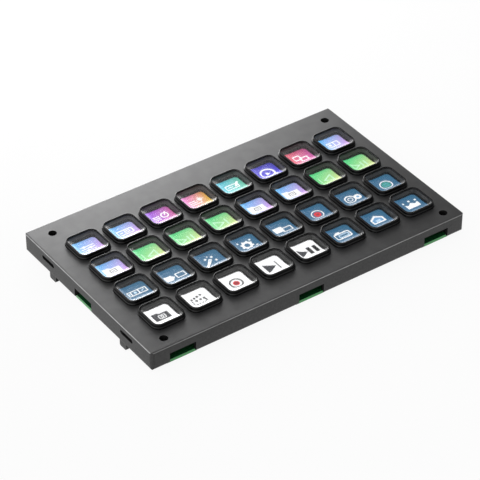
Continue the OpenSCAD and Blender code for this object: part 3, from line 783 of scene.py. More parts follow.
@dataclass
class Tray:
    """The metal tray, with a fine bevel along its edges."""

    half: Flat = TRAY_HALF
    face: float = LEVELS.face
    rim: float = 0.5
    highlight_top: float = 13.16
    roll: float = 0.6
    corner: float = 2.0
    corner_cuts: tuple[float, ...] = (0.8, 1.2, 1.6, 2.0)
    corner_zone: float = 1.0
    skin: float = 0.3
    wall: float = 2.0
    inner_low: float = 2.45
    inner_high: float = 12.2
    lug_y: float = 31.65
    lug_half: float = 3.2
    bore: float = 2.6
    windows_middle: Flat = (1.7, -2.8)
    windows_half: Flat = (88.0, 44.0)
    window_edge: float = 0.4
    other_edge: float = 0.5  # share of a window's edge
    sharp: float = 34.0  # degrees between faces from which an edge is broken
    slope: Flat = (0.5, 0.85)  # how far the normals of the break round the top point up
    level: float = 0.9
    slack: float = 0.05

    def _on_rim(self, place: Vector, slack: float = 0.0) -> bool:
        """Returns whether a place in metres lies on the break round the top, give or take some millimetres."""
        x, y, z = (v / MM for v in place)
        return min(max(abs(x) - self.half[0], abs(y) - self.half[1]), z - self.face) > -self.rim - slack

    def _is_break(self, place: Vector, normal: Vector) -> bool:
        """Returns whether a face with this middle and normal is part of the break round the top."""
        return self.slope[0] < normal.z < self.slope[1] and self._on_rim(place)

    def _weight(self, edge: bmesh.types.BMEdge) -> float:
        """Finds how wide an edge is broken.

        Args:
            edge: An edge of the welded skin.

        Returns:
            A share of the widest break, 0 where the edge stays.
        """
        middle = (edge.verts[0].co + edge.verts[1].co) / 2
        dull = len(edge.link_faces) != 2 or edge.calc_face_angle(0.0) < math.radians(self.sharp)
        if dull or self._on_rim(middle, self.slack):
            return 0.0
        window = all(abs(place - centre * MM) < half * MM
                     for place, centre, half in zip(middle, self.windows_middle, self.windows_half))
        return 1.0 if window and middle.z > (self.face - 2 * self.slack) * MM else self.other_edge

    def _part(self, face: bpy.types.MeshPolygon) -> int:
        """Finds the finish of a face.

        Args:
            face: A face of the tray.

        Returns:
            0 for the level faces, 1 for the upright ones, darkened as painted shade, 2 for the lower part of the
            break round the top, lightened as a painted highlight, 3 for the inside and the bolt holes, near-black as
            painted shade.
        """
        x, y, z = (v / MM for v in face.center)
        # Painted shade: the bolt holes take the near-black finish.
        if any(math.hypot(x - a, y - b) < self.bore for a, b in BOLTS) and face.normal.z < self.slope[0]:
            return 3
        if self._is_break(face.center, face.normal):
            # The lower part of the break takes the lighter edge finish as a painted highlight.
            return 2 if z < self.highlight_top else 0
        over = Vector((abs(x) - self.half[0] + self.corner, abs(y) - self.half[1] + self.corner))
        depth = self.corner - self.skin
        inside = max(over) < depth and (min(over) < 0.0 or over.length < depth)
        lug = abs(x) > self.half[0] - self.wall and abs(abs(y) - self.lug_y) < self.lug_half
        # Painted shade: the inside of the tray takes the near-black finish.
        if inside and not lug and self.inner_low < z < self.inner_high:
            return 3
        # Upright faces get the darker side finish, which is painted shade.
        return 0 if face.normal.z > self.level and z > self.face - self.rim else 1

    def _round_corners(self, mesh: bpy.types.Mesh) -> None:
        """Gives the upright corners of the tray's mesh the round of a bent sheet."""
        reach = [(half - self.corner) * MM for half in self.half]
        zone = [low - self.corner_zone * MM for low in reach]
        with opened(mesh) as work:
            for inset, side, axis in itertools.product(self.corner_cuts, SIDES, (0, 1)):
                near = [face for face in work.faces if any(
                    abs(vert.co.x) > zone[0] and abs(vert.co.y) > zone[1] for vert in face.verts)]
                place, way = [0.0, 0.0, 0.0], [0.0, 0.0, 0.0]
                place[axis], way[axis] = side * (self.half[axis] - inset), 1.0
                cut(work, near, place, way, 1e-7)
            for vert in work.verts:
                over = Vector((abs(vert.co.x) - reach[0], abs(vert.co.y) - reach[1]))
                if min(over) > 0.0 and over.length > self.corner * MM:
                    over = over.normalized() * self.corner * MM
                    vert.co.x = math.copysign(reach[0] + over.x, vert.co.x)
                    vert.co.y = math.copysign(reach[1] + over.y, vert.co.y)
            bmesh.ops.remove_doubles(work, verts=work.verts, dist=1e-6)

    def _round_rim(self, mesh: bpy.types.Mesh) -> None:
        """Lets the shading of the tray's mesh run on from the face into the break round it."""
        for edge in mesh.edges:
            ends = [mesh.vertices[i].co / MM for i in edge.vertices]
            along = any(all(abs(abs(end[axis]) - half + self.rim) < 0.02 for end in ends)
                        for axis, half in enumerate(self.half))
            if along and all(end.z > self.face - 0.01 for end in ends):
                edge.use_edge_sharp = False

    def build(self, node: bpy.types.Object) -> bpy.types.Object:
        """Copies the solid's skin, welds it and breaks its edges.

        Args:
            node: The tray's solid.

        Returns:
            The dressed tray.
        """
        mesh = bpy.data.meshes.new("tray_metal")
        with opened(node.data, mesh) as work:
            bmesh.ops.remove_doubles(work, verts=work.verts, dist=2e-7)
            bmesh.ops.dissolve_limit(work, angle_limit=math.radians(0.4), verts=work.verts, edges=work.edges)
            rim = [face for face in work.faces if self._is_break(face.calc_center_median(), face.normal)]
            cut(work, rim, (0.0, 0.0, self.highlight_top), (0.0, 0.0, 1.0))
            for way, half in (((1.0, 0.0, 0.0), self.half[0]), ((0.0, 1.0, 0.0), self.half[1])):
                for side in SIDES:
                    level = [face for face in work.faces if face.normal.z > self.level
                             and face.calc_center_median().z > (self.face - self.slack) * MM]
                    cut(work, level, Vector(way) * side * (half - self.rim - self.roll), way, 1e-8)
            weight = work.edges.layers.float.new("bevel_weight_edge")
            for edge in work.edges:
                edge[weight] = self._weight(edge)
        holder = put("tray_metal.blank", mesh)
        bevel = holder.modifiers.new("edge", "BEVEL")
        bevel.width = self.window_edge * MM
        bevel.segments = 1
        bevel.limit_method = "WEIGHT"
        bevel.use_clamp_overlap = True
        bevelled = baked(holder)
        self._round_corners(bevelled)
        bevelled.polygons.foreach_set("material_index", [self._part(face) for face in bevelled.polygons])
        parts = [Finish.TRAY, Finish.TRAY_SIDE_SHADE, Finish.TRAY_EDGE_HIGHLIGHT, Finish.SHADE_AND_BLACK_BAND]
        piece = finish_mesh("tray_metal", bevelled, parts, 20.0, turn_out=False)
        self._round_rim(piece.data)
        return ride(piece, CHASSIS, "tray_metal", "tray")


# ---------------------------------------------------------------- keys


@dataclass
class KeySkirt:
    """The black side of a key: a profile swept round its clear core."""

    top_half: float = 9.0
    corner: float = 4.0
    lip: float = 1.2
    lip_soft: float = 0.1
    base: float = 0.45
    bevel: float = 0.34
    rim_round: float = 0.34
    ridge: float = 0.14
    ridge_soft: Flat = (0.12, 0.016)
    slope_width: float = 0.45
    slope_drop: float = 0.12
    slope_soft: Flat = (0.15, 0.044)
    band: float = 2.2
    wall: float = 0.5
    wall_top: float = 0.6
    flange: float = 0.25
    core: float = 0.74
    core_out: float = 0.6
    core_end: float = 9.85
    shelf: float = 0.2
    corner_steps: int = 9

    @property
    def pane(self) -> float:
        """Returns half of the width of the clear pane."""
        return self.top_half - self.rim_round - self.ridge - self.slope_width

    @property
    def pane_edge(self) -> float:
        """Returns the height of the pane's edge."""
        return LEVELS.key_top - self.slope_drop

    def profile(self) -> list[Flat]:
        """Returns the section's points, as steps out from the top's edge and heights."""
        soft, top, turn = self.lip_soft, LEVELS.key_top, self.rim_round
        turns = [math.radians(22.5 * i) for i in range(5)]
        shoulder = [(turn * (math.cos(t) - 1), top - turn + turn * math.sin(t)) for t in turns]
        edge = self.pane - self.top_half
        step = [(self.base - self.bevel * (1 - math.cos(t)), LEVELS.step - self.bevel * (1 - math.sin(t)))
                for t in turns]
        return [
            (-self.core, self.core_end), (-self.core_out, self.core_end), (-self.core_out, LEVELS.lip_under),
            (self.lip - soft, LEVELS.lip_under), (self.lip, LEVELS.lip_under + soft),
            (self.lip, LEVELS.lip_top - soft), (self.lip - soft, LEVELS.lip_top),
            (self.base, LEVELS.lip_top), *step, (0.0, LEVELS.step), *shoulder,
            (-turn - self.ridge, top), (-turn - self.ridge - self.ridge_soft[0], top - self.ridge_soft[1]),
            (edge + self.slope_soft[0], self.pane_edge + self.slope_soft[1]), (edge, self.pane_edge),
            (edge, self.pane_edge - self.flange), (-self.wall, top - self.wall_top),
            (-self.wall, top - self.band), (-self.wall, LEVELS.lip_under + self.shelf),
            (-self.core, LEVELS.lip_under),
        ]

    def build(self, repeats: Repeats) -> bpy.types.Object:
        """Sweeps the section round the key.

        Args:
            repeats: Trees for what follows a path.

        Returns:
            The skirt of a key that stands at the origin.
        """
        profile = self.profile()
        count = len(profile)
        swept = repeats.sweep.make(
            "skirt", [(out, -height, 0.0) for out, height in profile], [(i, (i + 1) % count) for i in range(count)],
            Finish.SKIRT, 40.0, Path_Width=2 * self.top_half, Corner_Radius=self.corner,
            Corner_Steps=self.corner_steps)
        mesh = swept.data
        mesh.materials.append(Finish.WELL.material)
        mesh.materials.append(Finish.SHADE_AND_BLACK_BAND.material)
        for face in mesh.polygons:
            facing_in = face.normal.x * face.center.x + face.normal.y * face.center.y < 0
            if facing_in and face.center.z < (self.pane_edge - 0.1) * MM:
                face.material_index = 1 if face.center.z < (LEVELS.key_top - self.band) * MM else 2
        return swept


@dataclass
class KeyLens:
    """The clear core of a key, with a shallow dish. Its sides lie in the black skirt."""

    sunk: float = 0.05
    foot_half: float = 8.3
    foot_corner: float = 2.9
    foot_break: float = 0.12
    slope: float = 0.3
    slope_width: float = 2.6
    neck_top: float = 0.06
    brim: float = 0.004
    insets: tuple[float, ...] = (0.2, 0.4, 0.65, 0.9, 1.2, 1.5, 1.85, 2.2, 2.6)
    steps: int = 9

    def build(self, skirt: KeySkirt) -> bpy.types.Object:
        """Lofts the core from its foot to the flat middle of its dish.

        Args:
            skirt: Sizes of the skirt round it.

        Returns:
            The clear core of a key that stands at the origin.
        """
        side = skirt.top_half - skirt.wall + self.sunk
        neck = skirt.pane + self.sunk
        edge = skirt.pane_edge
        foot = LEVELS.core_end
        stations = [(self.foot_half - self.foot_break, self.foot_corner, foot),
                    (self.foot_half, self.foot_corner, foot + self.foot_break),
                    (self.foot_half, self.foot_corner, LEVELS.lip_under)]
        walls = [(side, LEVELS.lip_under + skirt.shelf), (side, LEVELS.key_top - skirt.wall_top + self.sunk),
                 (neck, edge - skirt.flange + self.sunk), (neck, edge - self.neck_top),
                 (skirt.pane, edge - self.brim)]
        walls += [(skirt.pane - inset, edge - self.brim - self.slope * (inset - inset ** 2 / (2 * self.slope_width)))
                  for inset in self.insets]
        stations += [(half, skirt.corner - skirt.top_half + half, z) for half, z in walls]
        draft = Draft()
        draft.loft([[(x, y, z) for x, y in rounded_square(half, radius, self.steps)] for half, radius, z in stations])
        return draft.build("lens", Finish.CLEAR, 15.0)


@dataclass
class Keys:
    """All the keys: one skirt and one lens on each body."""

    grid: KeyGrid

    def build(self, repeats: Repeats) -> int:
        """Puts a copy of the skirt and the lens on every key's body.

        Args:
            repeats: Trees for what follows a path.

        Returns:
            The number of pieces.
        """
        sizes = KeySkirt()
        kinds = (("skirt", sizes.build(repeats), "key_plastic"), ("lens", KeyLens().build(sizes), "clear_plastic"))
        for (row, col), (kind, model, slot) in itertools.product(self.grid.places(), kinds):
            x, y = self.grid.centre(row, col)
            own = model.data.copy()
            own.transform(Matrix.Translation((x * MM, y * MM, 0.0)))
            ride(put(f"key_{kind}_r{row}_c{col}", own), f"key_r{row}_c{col}", slot, f"keycap_r{row}_c{col}")
        for _, model, _ in kinds:
            bpy.data.meshes.remove(model.data)  # its object goes with it
        return len(kinds) * len(self.grid.places())


@dataclass
class SwitchMat:
    """The silicone mat: a sheet, and under each key a collar. On the real mat the collar gives way when the key goes
    down; here it stays still.
    """

    grid: KeyGrid
    sheet_top: float = 9.45
    low_top: float = 9.5
    rings: tuple[Point, ...] = (
        (9.7, 3.7, 9.45), (9.7, 3.7, 10.3), (9.5, 3.5, 10.5), (8.7, 2.7, 10.5), (8.5, 2.5, 10.3), (8.5, 2.5, 9.45))
    steps: int = 6
    keep: float = 0.12

    def _sheet(self, node: bpy.types.Object) -> None:
        """Copies the mat's solid with its collars cut down to a low ring."""
        mesh = bpy.data.meshes.new("mat_sheet")
        with opened(node.data, mesh) as work:
            bmesh.ops.remove_doubles(work, verts=work.verts, dist=2e-7)
            for vert in work.verts:
                vert.co.z = min(vert.co.z, self.low_top * MM)
        piece = finish_mesh("mat_sheet", mesh, [Finish.SILICONE], 30.0, turn_out=False)
        ride(piece, CHASSIS, "mat_silicone", "switch_mat")

    def build(self, node: bpy.types.Object) -> int:
        """Makes the sheet and the collars.

        Args:
            node: The mat's solid.

        Returns:
            The number of pieces.
        """
        self._sheet(node)
        for row, col in self.grid.places():
            x, y = self.grid.centre(row, col)
            draft = Draft()
            draft.loft([[(x + a, y + b, z) for a, b in rounded_square(half, radius, self.steps)]
                        for half, radius, z in self.rings], closed=True)
            piece = draft.build(f"mat_collar_r{row}_c{col}", Finish.SILICONE, 30.0)
            ride(piece, CHASSIS, "mat_silicone", "switch_mat")
            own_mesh(piece)
        return 1 + len(self.grid.places())


# ---------------------------------------------------------------- pictures on the screen


@dataclass(frozen=True)
class Wash:
    """A smooth blend between four corner colours."""

    left_front: str
    right_front: str
    left_back: str
    right_back: str

    def at(self, u: float, v: float) -> Colour:
        """Finds the colour at a place.

        Args:
            u: Share of the way to the right.
            v: Share of the way to the back.

        Returns:
            Linear red, green and blue.
        """
        front = Vector(linear(self.left_front)).lerp(Vector(linear(self.right_front)), u)
        back = Vector(linear(self.left_back)).lerp(Vector(linear(self.right_back)), u)
        return tuple(front.lerp(back, v))


class Theme(Enum):
    """The colour washes behind the pictures."""

    SKY_VIOLET = Wash("98dcfa", "eda4f8", "34b4f5", "9ca0d7")
    VIOLET_PINK = Wash("a860fa", "dc5c96", "8a3de6", "b45a9b")
    PINK_ORANGE = Wash("f06bb8", "f0d01c", "e468d8", "c88632")
    CYAN_MINT = Wash("66dcec", "6ed8b2", "3cbede", "5aaa96")
    INDIGO = Wash("4a3af2", "4c38f0", "3a2cc4", "3c3c9c")
    RED_MAGENTA = Wash("ff5a6a", "ea6ac6", "e05060", "a54678")
    GREEN_LIME = Wash("4be07a", "f8ee9c", "2fd480", "78cf8a")
    STEEL_BLUE = Wash("3a7396", "35698f", "2c6389", "386a88")
    WHITE = Wash("ffffff", "ffffff", "ffffff", "ffffff")


class Ink(Enum):
    """Colours of the signs."""

    WHITE = linear("ffffff")
    PALE = linear("c9e2f6")
    MID = linear("6fa3cf")
    MINT = linear("c8f7d2")
    SLATE = linear("37383d")
    BLACK = linear("151518")
    GREY = linear("8a8a8e")
    RED = linear("e0343c")
    DARK_RED = linear("9c1f28")
    TEAL = linear("2f9a86")


class Pen:
    """Draws flat signs on one tile, each shape over the last one.

    All sizes are in millimetres. A shape's middle lies u to the right and v to the back of the tile's middle,
    and a rectangle is w wide and h deep.
    """

    GAP = 0.001
    STEP = 0.003
    THICK = 0.0025
    CORNER_STEPS = 4
    RING_SIDES = 28

    def __init__(self, draft: Draft, x: float, y: float, low: float) -> None:
        """Starts a sign.

        Args:
            draft: Where the shapes are collected.
            x: Middle of the tile along X.
            y: Middle of the tile along Y.
            low: Height of the tile's top.
        """
        self.draft = draft
        self.x = x
        self.y = y
        self.low = low + self.GAP

    def _lay(self, u: float, v: float, outlines: Sequence[Sequence[Flat]], ink: Ink) -> None:
        """Lays down a filled outline or the strip between two.

        Args:
            u: Its middle along X.
            v: Its middle along Y.
            outlines: The outline, or two of equally many points.
            ink: Its colour.
        """
        levels = ((self.low, outlines), (self.low + self.THICK, outlines[::-1]))
        self.draft.loft([[(self.x + u + a, self.y + v + b, z) for a, b in outline]
                         for z, order in levels for outline in order], ink.value, closed=len(outlines) > 1)
        self.low += self.STEP

    def shape(self, outline: Sequence[Flat], ink: Ink = Ink.WHITE) -> None:
        """Adds a filled shape."""
        self._lay(0.0, 0.0, [outline], ink)

    def box(self, u: float, v: float, w: float, h: float, radius: float, ink: Ink = Ink.WHITE) -> None:
        """Adds a filled rectangle with round corners."""
        self._lay(u, v, [rounded_square(w / 2, radius, self.CORNER_STEPS, h / 2)], ink)

    def bar(self, start: Flat, end: Flat, width: float, ink: Ink = Ink.WHITE) -> None:
        """Adds a straight stroke.

        Args:
            start: Its first end.
            end: Its other end.
            width: Its width.
            ink: Its colour.
        """
        a, b = Vector(start), Vector(end)
        side = (b - a).normalized().orthogonal() * width / 2
        self.shape([tuple(a - side), tuple(b - side), tuple(b + side), tuple(a + side)], ink)

    def frame(self, u: float, v: float, w: float, h: float, stroke: float, radius: float = 0.8,
              ink: Ink = Ink.WHITE) -> None:
        """Adds an outlined rectangle with round corners."""
        self._lay(u, v, [rounded_square(w / 2 - inset, max(radius - inset, 0.05), self.CORNER_STEPS, h / 2 - inset)
                         for inset in (0.0, stroke)], ink)

    def disc(self, u: float, v: float, radius: float, sides: int = 24, ink: Ink = Ink.WHITE) -> None:
        """Adds a filled circle."""
        self._lay(u, v, [circle(radius, sides)], ink)

    def ring(self, u: float, v: float, radius: float, stroke: float, ink: Ink = Ink.WHITE) -> None:
        """Adds a circle's line."""
        self._lay(u, v, [circle(radius, self.RING_SIDES), circle(radius - stroke, self.RING_SIDES)], ink)

    def line_triangle(self, u: float, v: float, size: float, stroke: float, ink: Ink = Ink.WHITE) -> None:
        """Adds an outlined triangle that points right, or left where its size is below zero.

        Args:
            u: Its middle along X.
            v: Its middle along Y.
            size: Its length.
            stroke: Width of the line.
            ink: Its colour.
        """
        high = abs(size) * 0.56
        outer = [(-size / 2, -high), (size / 2, 0.0), (-size / 2, high)]
        shrink, middle = 1 - 2.9 * stroke / abs(size), -size / 6
        self._lay(u, v, [outer, [(middle + (a - middle) * shrink, b * shrink) for a, b in outer]], ink)

    def triangle(self, u: float, v: float, size: float, ink: Ink = Ink.WHITE) -> None:
        """Adds a filled triangle that points right."""
        self._lay(u, v, [[(-size / 2, -size * 0.6), (size / 2, 0.0), (-size / 2, size * 0.6)]], ink)

    def folder(self, u: float, v: float, w: float, h: float, ink: Ink = Ink.WHITE) -> None:
        """Adds a folder with its tab at the left."""
        self._lay(u, v, [[(-w / 2, -h / 2), (w / 2, -h / 2), (w / 2, h * 0.34), (w * 0.02, h * 0.34),
                          (-w * 0.1, h / 2), (-w / 2, h / 2)]], ink)


def draw_list(pen: Pen) -> None:
    """Draws three lines with a slider knob on each."""
    for v, knob in ((2.9, -1.2), (1.2, 2.0), (-0.5, -0.2)):
        pen.bar((-3.7, v), (4.6, v), 0.65)
        pen.disc(knob, v, 0.85)


def draw_panel(pen: Pen) -> None:
    """Draws a screen with a small window in it."""
    pen.frame(0.7, 1.6, 9.6, 4.4, 0.75)
    pen.frame(2.0, 1.6, 3.2, 1.9, 0.5, 0.3)
    pen.bar((-2.4, 1.6), (-0.4, 1.6), 0.7)


def draw_note(pen: Pen) -> None:
    """Draws lines beside a dial."""
    for v in (2.6, 1.2, -0.2):
        pen.bar((-4.6, v), (0.0, v), 0.7)
    pen.ring(3.0, 2.0, 2.3, 0.75)
    pen.bar((3.0, 2.0), (4.6, 4.6), 0.75)


def draw_spark(pen: Pen) -> None:
    """Draws lines beside an eight-rayed spark."""
    for v, end in ((2.7, 0.4), (1.3, 1.2), (-0.1, 3.2)):
        pen.bar((-4.2, v), (end, v), 0.65)
    for i in range(4):
        t = math.radians(45 * i)
        reach = 2.2 if i % 2 == 0 else 1.6
        pen.bar((3.1 - reach * math.cos(t), 2.7 - reach * math.sin(t)),
                (3.1 + reach * math.cos(t), 2.7 + reach * math.sin(t)), 0.5)


def draw_pencil(pen: Pen) -> None:
    """Draws a pencil over a sheet's outline."""
    pen.frame(1.0, 1.6, 8.0, 4.0, 0.65, 0.5)
    pen.bar((2.8, 0.8), (5.8, 4.4), 1.2)
    pen.bar((-1.6, 1.6), (1.4, 1.6), 0.6)


def draw_play_ring(pen: Pen) -> None:
    """Draws a ring round a triangle, with a short handle."""
    pen.ring(0.8, 0.2, 4.5, 1.1)
    pen.triangle(1.1, 0.2, 2.6)
    pen.bar((3.9, -2.7), (5.6, -3.8), 1.1)


def draw_copy(pen: Pen) -> None:
    """Draws two squares, one over the other."""
    pen.frame(-0.9, 2.3, 4.7, 4.2, 0.8, 0.6)
    pen.frame(2.5, -0.3, 4.9, 4.2, 0.8, 0.6)


def draw_split(pen: Pen) -> None:
    """Draws a screen that is split in two."""
    pen.frame(0.2, 1.5, 8.2, 4.4, 0.75)
    pen.bar((1.0, -0.4), (1.0, 3.4), 0.6)
    pen.disc(-1.6, 1.5, 0.95, 12)


def draw_folder(pen: Pen) -> None:
    """Draws a filled folder with a small sheet's outline on it."""
    pen.folder(0.2, 0.4, 10.0, 6.4)
    pen.frame(0.8, 0.2, 3.8, 3.0, 0.5, 0.4, Ink.GREY)
    pen.bar((-0.1, 0.2), (1.7, 0.2), 0.5, Ink.GREY)


def draw_previous(pen: Pen) -> None:
    """Draws an outlined triangle that points left at a bar."""
    pen.bar((-3.0, -1.7), (-3.0, 3.1), 0.85, Ink.MINT)
    pen.line_triangle(1.8, 0.0, -6.0, 0.8, Ink.MINT)


def draw_next(pen: Pen) -> None:
    """Draws an outlined triangle that points right at a bar."""
    pen.bar((3.8, -1.8), (3.8, 3.6), 0.85, Ink.MINT)
    pen.line_triangle(-0.2, 1.1, 6.2, 0.8, Ink.MINT)


def draw_play_pause(pen: Pen) -> None:
    """Draws an outlined triangle and two bars."""
    pen.line_triangle(-1.7, 0.4, 5.8, 0.8, Ink.MINT)
    pen.bar((2.2, -2.2), (2.2, 2.6), 0.85, Ink.MINT)
    pen.bar((4.5, -2.2), (4.5, 2.6), 0.85, Ink.MINT)


def draw_strip(pen: Pen) -> None:
    """Draws a strip of three cells."""
    pen.frame(1.0, 1.4, 11.6, 3.8, 0.6, 0.6)
    for u in (-2.0, 2.2):
        pen.bar((u, -0.3), (u, 3.1), 0.6)
    pen.box(-3.4, 1.4, 1.5, 1.5, 0.2, Ink.PALE)
    pen.disc(0.1, 1.4, 0.85, 12, Ink.PALE)
    pen.bar((3.4, 0.8), (5.4, 2.2), 0.6, Ink.PALE)


def draw_swap(pen: Pen) -> None:
    """Draws a filled card that moves to an outlined one."""
    pen.box(-3.0, 0.4, 5.4, 4.2, 0.5)
    pen.shape([(-0.8, -1.2), (1.2, 0.5), (-0.8, 2.2)])
    pen.frame(4.5, 0.6, 5.6, 4.0, 0.65, 0.4)


def draw_overlap(pen: Pen) -> None:
    """Draws a filled card behind an outlined one."""
    pen.box(-1.5, 1.3, 6.0, 4.2, 0.5)
    pen.frame(3.4, -0.1, 5.8, 3.9, 0.65, 0.4)


def draw_wand(pen: Pen) -> None:
    """Draws a stick with dots of light round its tip."""
    pen.bar((-4.2, -4.2), (1.2, 1.9), 1.6)
    pen.bar((-0.1, 0.4), (0.7, 1.3), 0.5, Ink.MID)
    for u, v, radius in ((-1.2, 3.0, 0.7), (2.7, 3.1, 0.7), (3.6, -0.1, 0.7), (0.8, 4.4, 0.45)):
        pen.disc(u, v, radius, 12)


def draw_gear(pen: Pen) -> None:
    """Draws a toothed ring with sparks."""
    pen.ring(0.9, 0.5, 2.9, 1.4)
    for i in range(8):
        t = math.radians(45 * i + 22.5)
        pen.bar((0.9 + 2.5 * math.cos(t), 0.5 + 2.5 * math.sin(t)),
                (0.9 + 3.5 * math.cos(t), 0.5 + 3.5 * math.sin(t)), 1.1)
    for u, v in ((-2.9, 3.9), (4.3, 3.6), (5.3, -2.1)):
        pen.disc(u, v, 0.65, 12)


def draw_record(pen: Pen) -> None:
    """Draws a pale ring round a red dot."""
    pen.ring(1.0, 0.5, 3.5, 0.6)
    pen.disc(1.0, 0.5, 2.0, 28, Ink.RED)
    pen.disc(1.0, 0.5, 0.8, 12, Ink.DARK_RED)


def draw_rings(pen: Pen) -> None:
    """Draws a large ring and a small one."""
    pen.ring(0.3, 0.9, 3.3, 0.8)
    pen.ring(0.3, 0.9, 1.6, 0.5)
    pen.disc(5.0, 0.9, 2.1)
    pen.disc(5.0, 0.9, 0.8, 12, Ink.MID)


def draw_globe(pen: Pen) -> None:
    """Draws a teal disc in a ring with two level lines."""
    pen.ring(1.2, 0.2, 3.7, 0.65)
    pen.disc(1.2, 0.2, 2.5, 28, Ink.TEAL)
    for v in (-0.7, 1.1):
        pen.bar((-0.9, v), (3.3, v), 0.4, Ink.MID)


def draw_album(pen: Pen) -> None:
    """Draws a dark folder with an outlined frame on it."""
    pen.folder(0.4, 0.9, 9.2, 6.0, Ink.SLATE)
    pen.frame(0.9, 0.4, 4.0, 3.1, 0.5, 0.6)
    pen.ring(0.9, 0.4, 0.9, 0.45)


def draw_dots(pen: Pen) -> None:
    """Draws dots over a dotted box."""
    for u, v in ((-2.8, 2.3), (-0.9, 2.7), (1.0, 3.1), (3.1, 3.6), (-0.9, 0.5), (1.4, 0.5), (3.5, 0.5)):
        pen.disc(u, v, 0.72, 10, Ink.BLACK)
    for u, v in ((-3.4, 0.6), (-3.5, -0.9), (-3.4, -2.4), (-1.9, -2.5), (-0.4, -2.5), (1.1, -2.5), (2.6, -2.5),
                 (3.8, -1.9), (3.8, -0.7)):
        pen.disc(u, v, 0.55, 10, Ink.BLACK)


def draw_red_dot(pen: Pen) -> None:
    """Draws a dark ring round a red dot."""
    pen.ring(0.95, 0.6, 3.7, 0.8, Ink.BLACK)
    pen.disc(0.95, 0.6, 1.75, ink=Ink.RED)
    pen.disc(0.95, 0.6, 1.2, ink=Ink.DARK_RED)


def draw_step(pen: Pen) -> None:
    """Draws a filled triangle and a bar."""
    pen.triangle(0.0, 0.8, 6.4, Ink.SLATE)
    pen.bar((4.3, -2.8), (4.3, 4.2), 0.6, Ink.BLACK)


def draw_dark_pause(pen: Pen) -> None:
    """Draws a filled triangle and two thick bars."""
    pen.triangle(-2.3, 0.5, 6.0, Ink.SLATE)
    pen.box(2.1, 0.4, 2.1, 6.0, 0.3, Ink.BLACK)
    pen.box(5.6, 0.3, 2.1, 5.8, 0.3, Ink.BLACK)


def draw_case(pen: Pen) -> None:
    """Draws an outlined case."""
    pen.frame(1.0, 1.0, 10.0, 5.0, 0.85, 1.2)
    pen.frame(1.7, 0.8, 6.0, 2.5, 0.6, 0.5, Ink.PALE)
    pen.box(-0.6, 3.9, 2.8, 0.9, 0.2)


def draw_house(pen: Pen) -> None:
    """Draws a house with a low door."""
    pen.shape([(-2.7, -1.7), (5.1, -1.7), (5.1, 2.2), (1.2, 4.7), (-2.7, 2.2)])
    pen.shape([(-1.7, -0.8), (4.1, -0.8), (4.1, 1.6), (1.2, 3.3), (-1.7, 1.6)], Ink.MID)
    pen.box(1.2, 0.2, 2.8, 1.7, 0.3, Ink.PALE)


def draw_crew(pen: Pen) -> None:
    """Draws three heads over their shoulders."""
    pen.shape([(-2.4, -1.6), (5.6, -1.6), (5.6, 2.2), (3.8, 1.0), (1.6, 2.6), (-0.6, 1.0), (-2.4, 2.2)])
    for u, v in ((-2.2, 3.7), (1.7, 4.1), (5.4, 3.6)):
        pen.disc(u, v, 0.7, 14)


Picture = tuple[Theme, Callable[[Pen], None]]

TILES: tuple[tuple[Picture, ...], ...] = (
    ((Theme.SKY_VIOLET, draw_list), (Theme.SKY_VIOLET, draw_panel), (Theme.VIOLET_PINK, draw_note),
     (Theme.PINK_ORANGE, draw_spark), (Theme.CYAN_MINT, draw_pencil), (Theme.INDIGO, draw_play_ring),
     (Theme.RED_MAGENTA, draw_copy), (Theme.SKY_VIOLET, draw_split)),
    ((Theme.SKY_VIOLET, draw_folder), (Theme.GREEN_LIME, draw_previous), (Theme.GREEN_LIME, draw_play_pause),
     (Theme.GREEN_LIME, draw_next), (Theme.SKY_VIOLET, draw_folder), (Theme.SKY_VIOLET, draw_folder),
     (Theme.GREEN_LIME, draw_previous), (Theme.GREEN_LIME, draw_play_pause)),
    tuple((Theme.STEEL_BLUE, sign) for sign in (draw_strip, draw_swap, draw_wand, draw_gear, draw_overlap,
                                                draw_record, draw_rings, draw_globe)),
    (*((Theme.WHITE, sign) for sign in (draw_album, draw_dots, draw_red_dot, draw_step, draw_dark_pause)),
     *((Theme.STEEL_BLUE, sign) for sign in (draw_case, draw_house, draw_crew))),
)


@dataclass
class Pictures:
    """The lit tiles on the screen, one behind each key, with a sign on each."""

    grid: KeyGrid
    half: float = 7.9
    corner: float = 2.0
    steps: int = 6
    low: float = LEVELS.screen_top
    thick: float = 0.02
    rings: int = 7

    def _tile(self, draft: Draft, x: float, y: float, wash: Wash) -> None:
        """Adds one tile as rings of points, each with its own colour.

        Args:
            draft: Where the shapes are collected.
            x: Middle of the tile along X.
            y: Middle of the tile along Y.
            wash: Colours of the tile.
        """
        high = self.low + self.thick
        outline = rounded_square(self.half, self.corner, self.steps)
        shares = [(1.0, self.low)] + [(1 - i / (self.rings + 1), high) for i in range(self.rings + 1)]
        spots = [(u * share, v * share, z) for share, z in shares for u, v in outline] + [(0.0, 0.0, high)]
        width, count, last = 2 * self.half, len(outline), len(spots) - 1
        faces: list[Sequence[int]] = [tuple(reversed(range(count)))]
        for first, i in itertools.product(range(0, last, count), range(count)):
            j = (i + 1) % count
            top = first + count == last
            faces.append((first + i, first + j, *((last,) if top else (first + count + j, first + count + i))))
        draft.add([(x + u, y + v, z) for u, v, z in spots], faces,
                  [wash.at(0.5 + u / width, 0.5 + v / width) for u, v, _ in spots])

    def build(self) -> bpy.types.Object:
        """Draws all the tiles and their signs in one piece.

        Returns:
            The lit pictures.
        """
        draft = Draft()
        for row, col in self.grid.places():
            theme, draw = TILES[row - 1][col - 1]
            x, y = self.grid.centre(row, col)
            self._tile(draft, x, y, theme.value)
            draw(Pen(draft, x, y, self.low + self.thick))
        return ride(draft.build("screen_pictures", Finish.PICTURE, 20.0), CHASSIS, "screen_glass")


# ---------------------------------------------------------------- circuit board


@dataclass(frozen=True)
class Chip:
    """The leads along the sides of a kind of chip, and the outline printed round it."""

    node: str
    count: int
    pitch: float
    along: str
    size: float
    reach: float
    outline: float


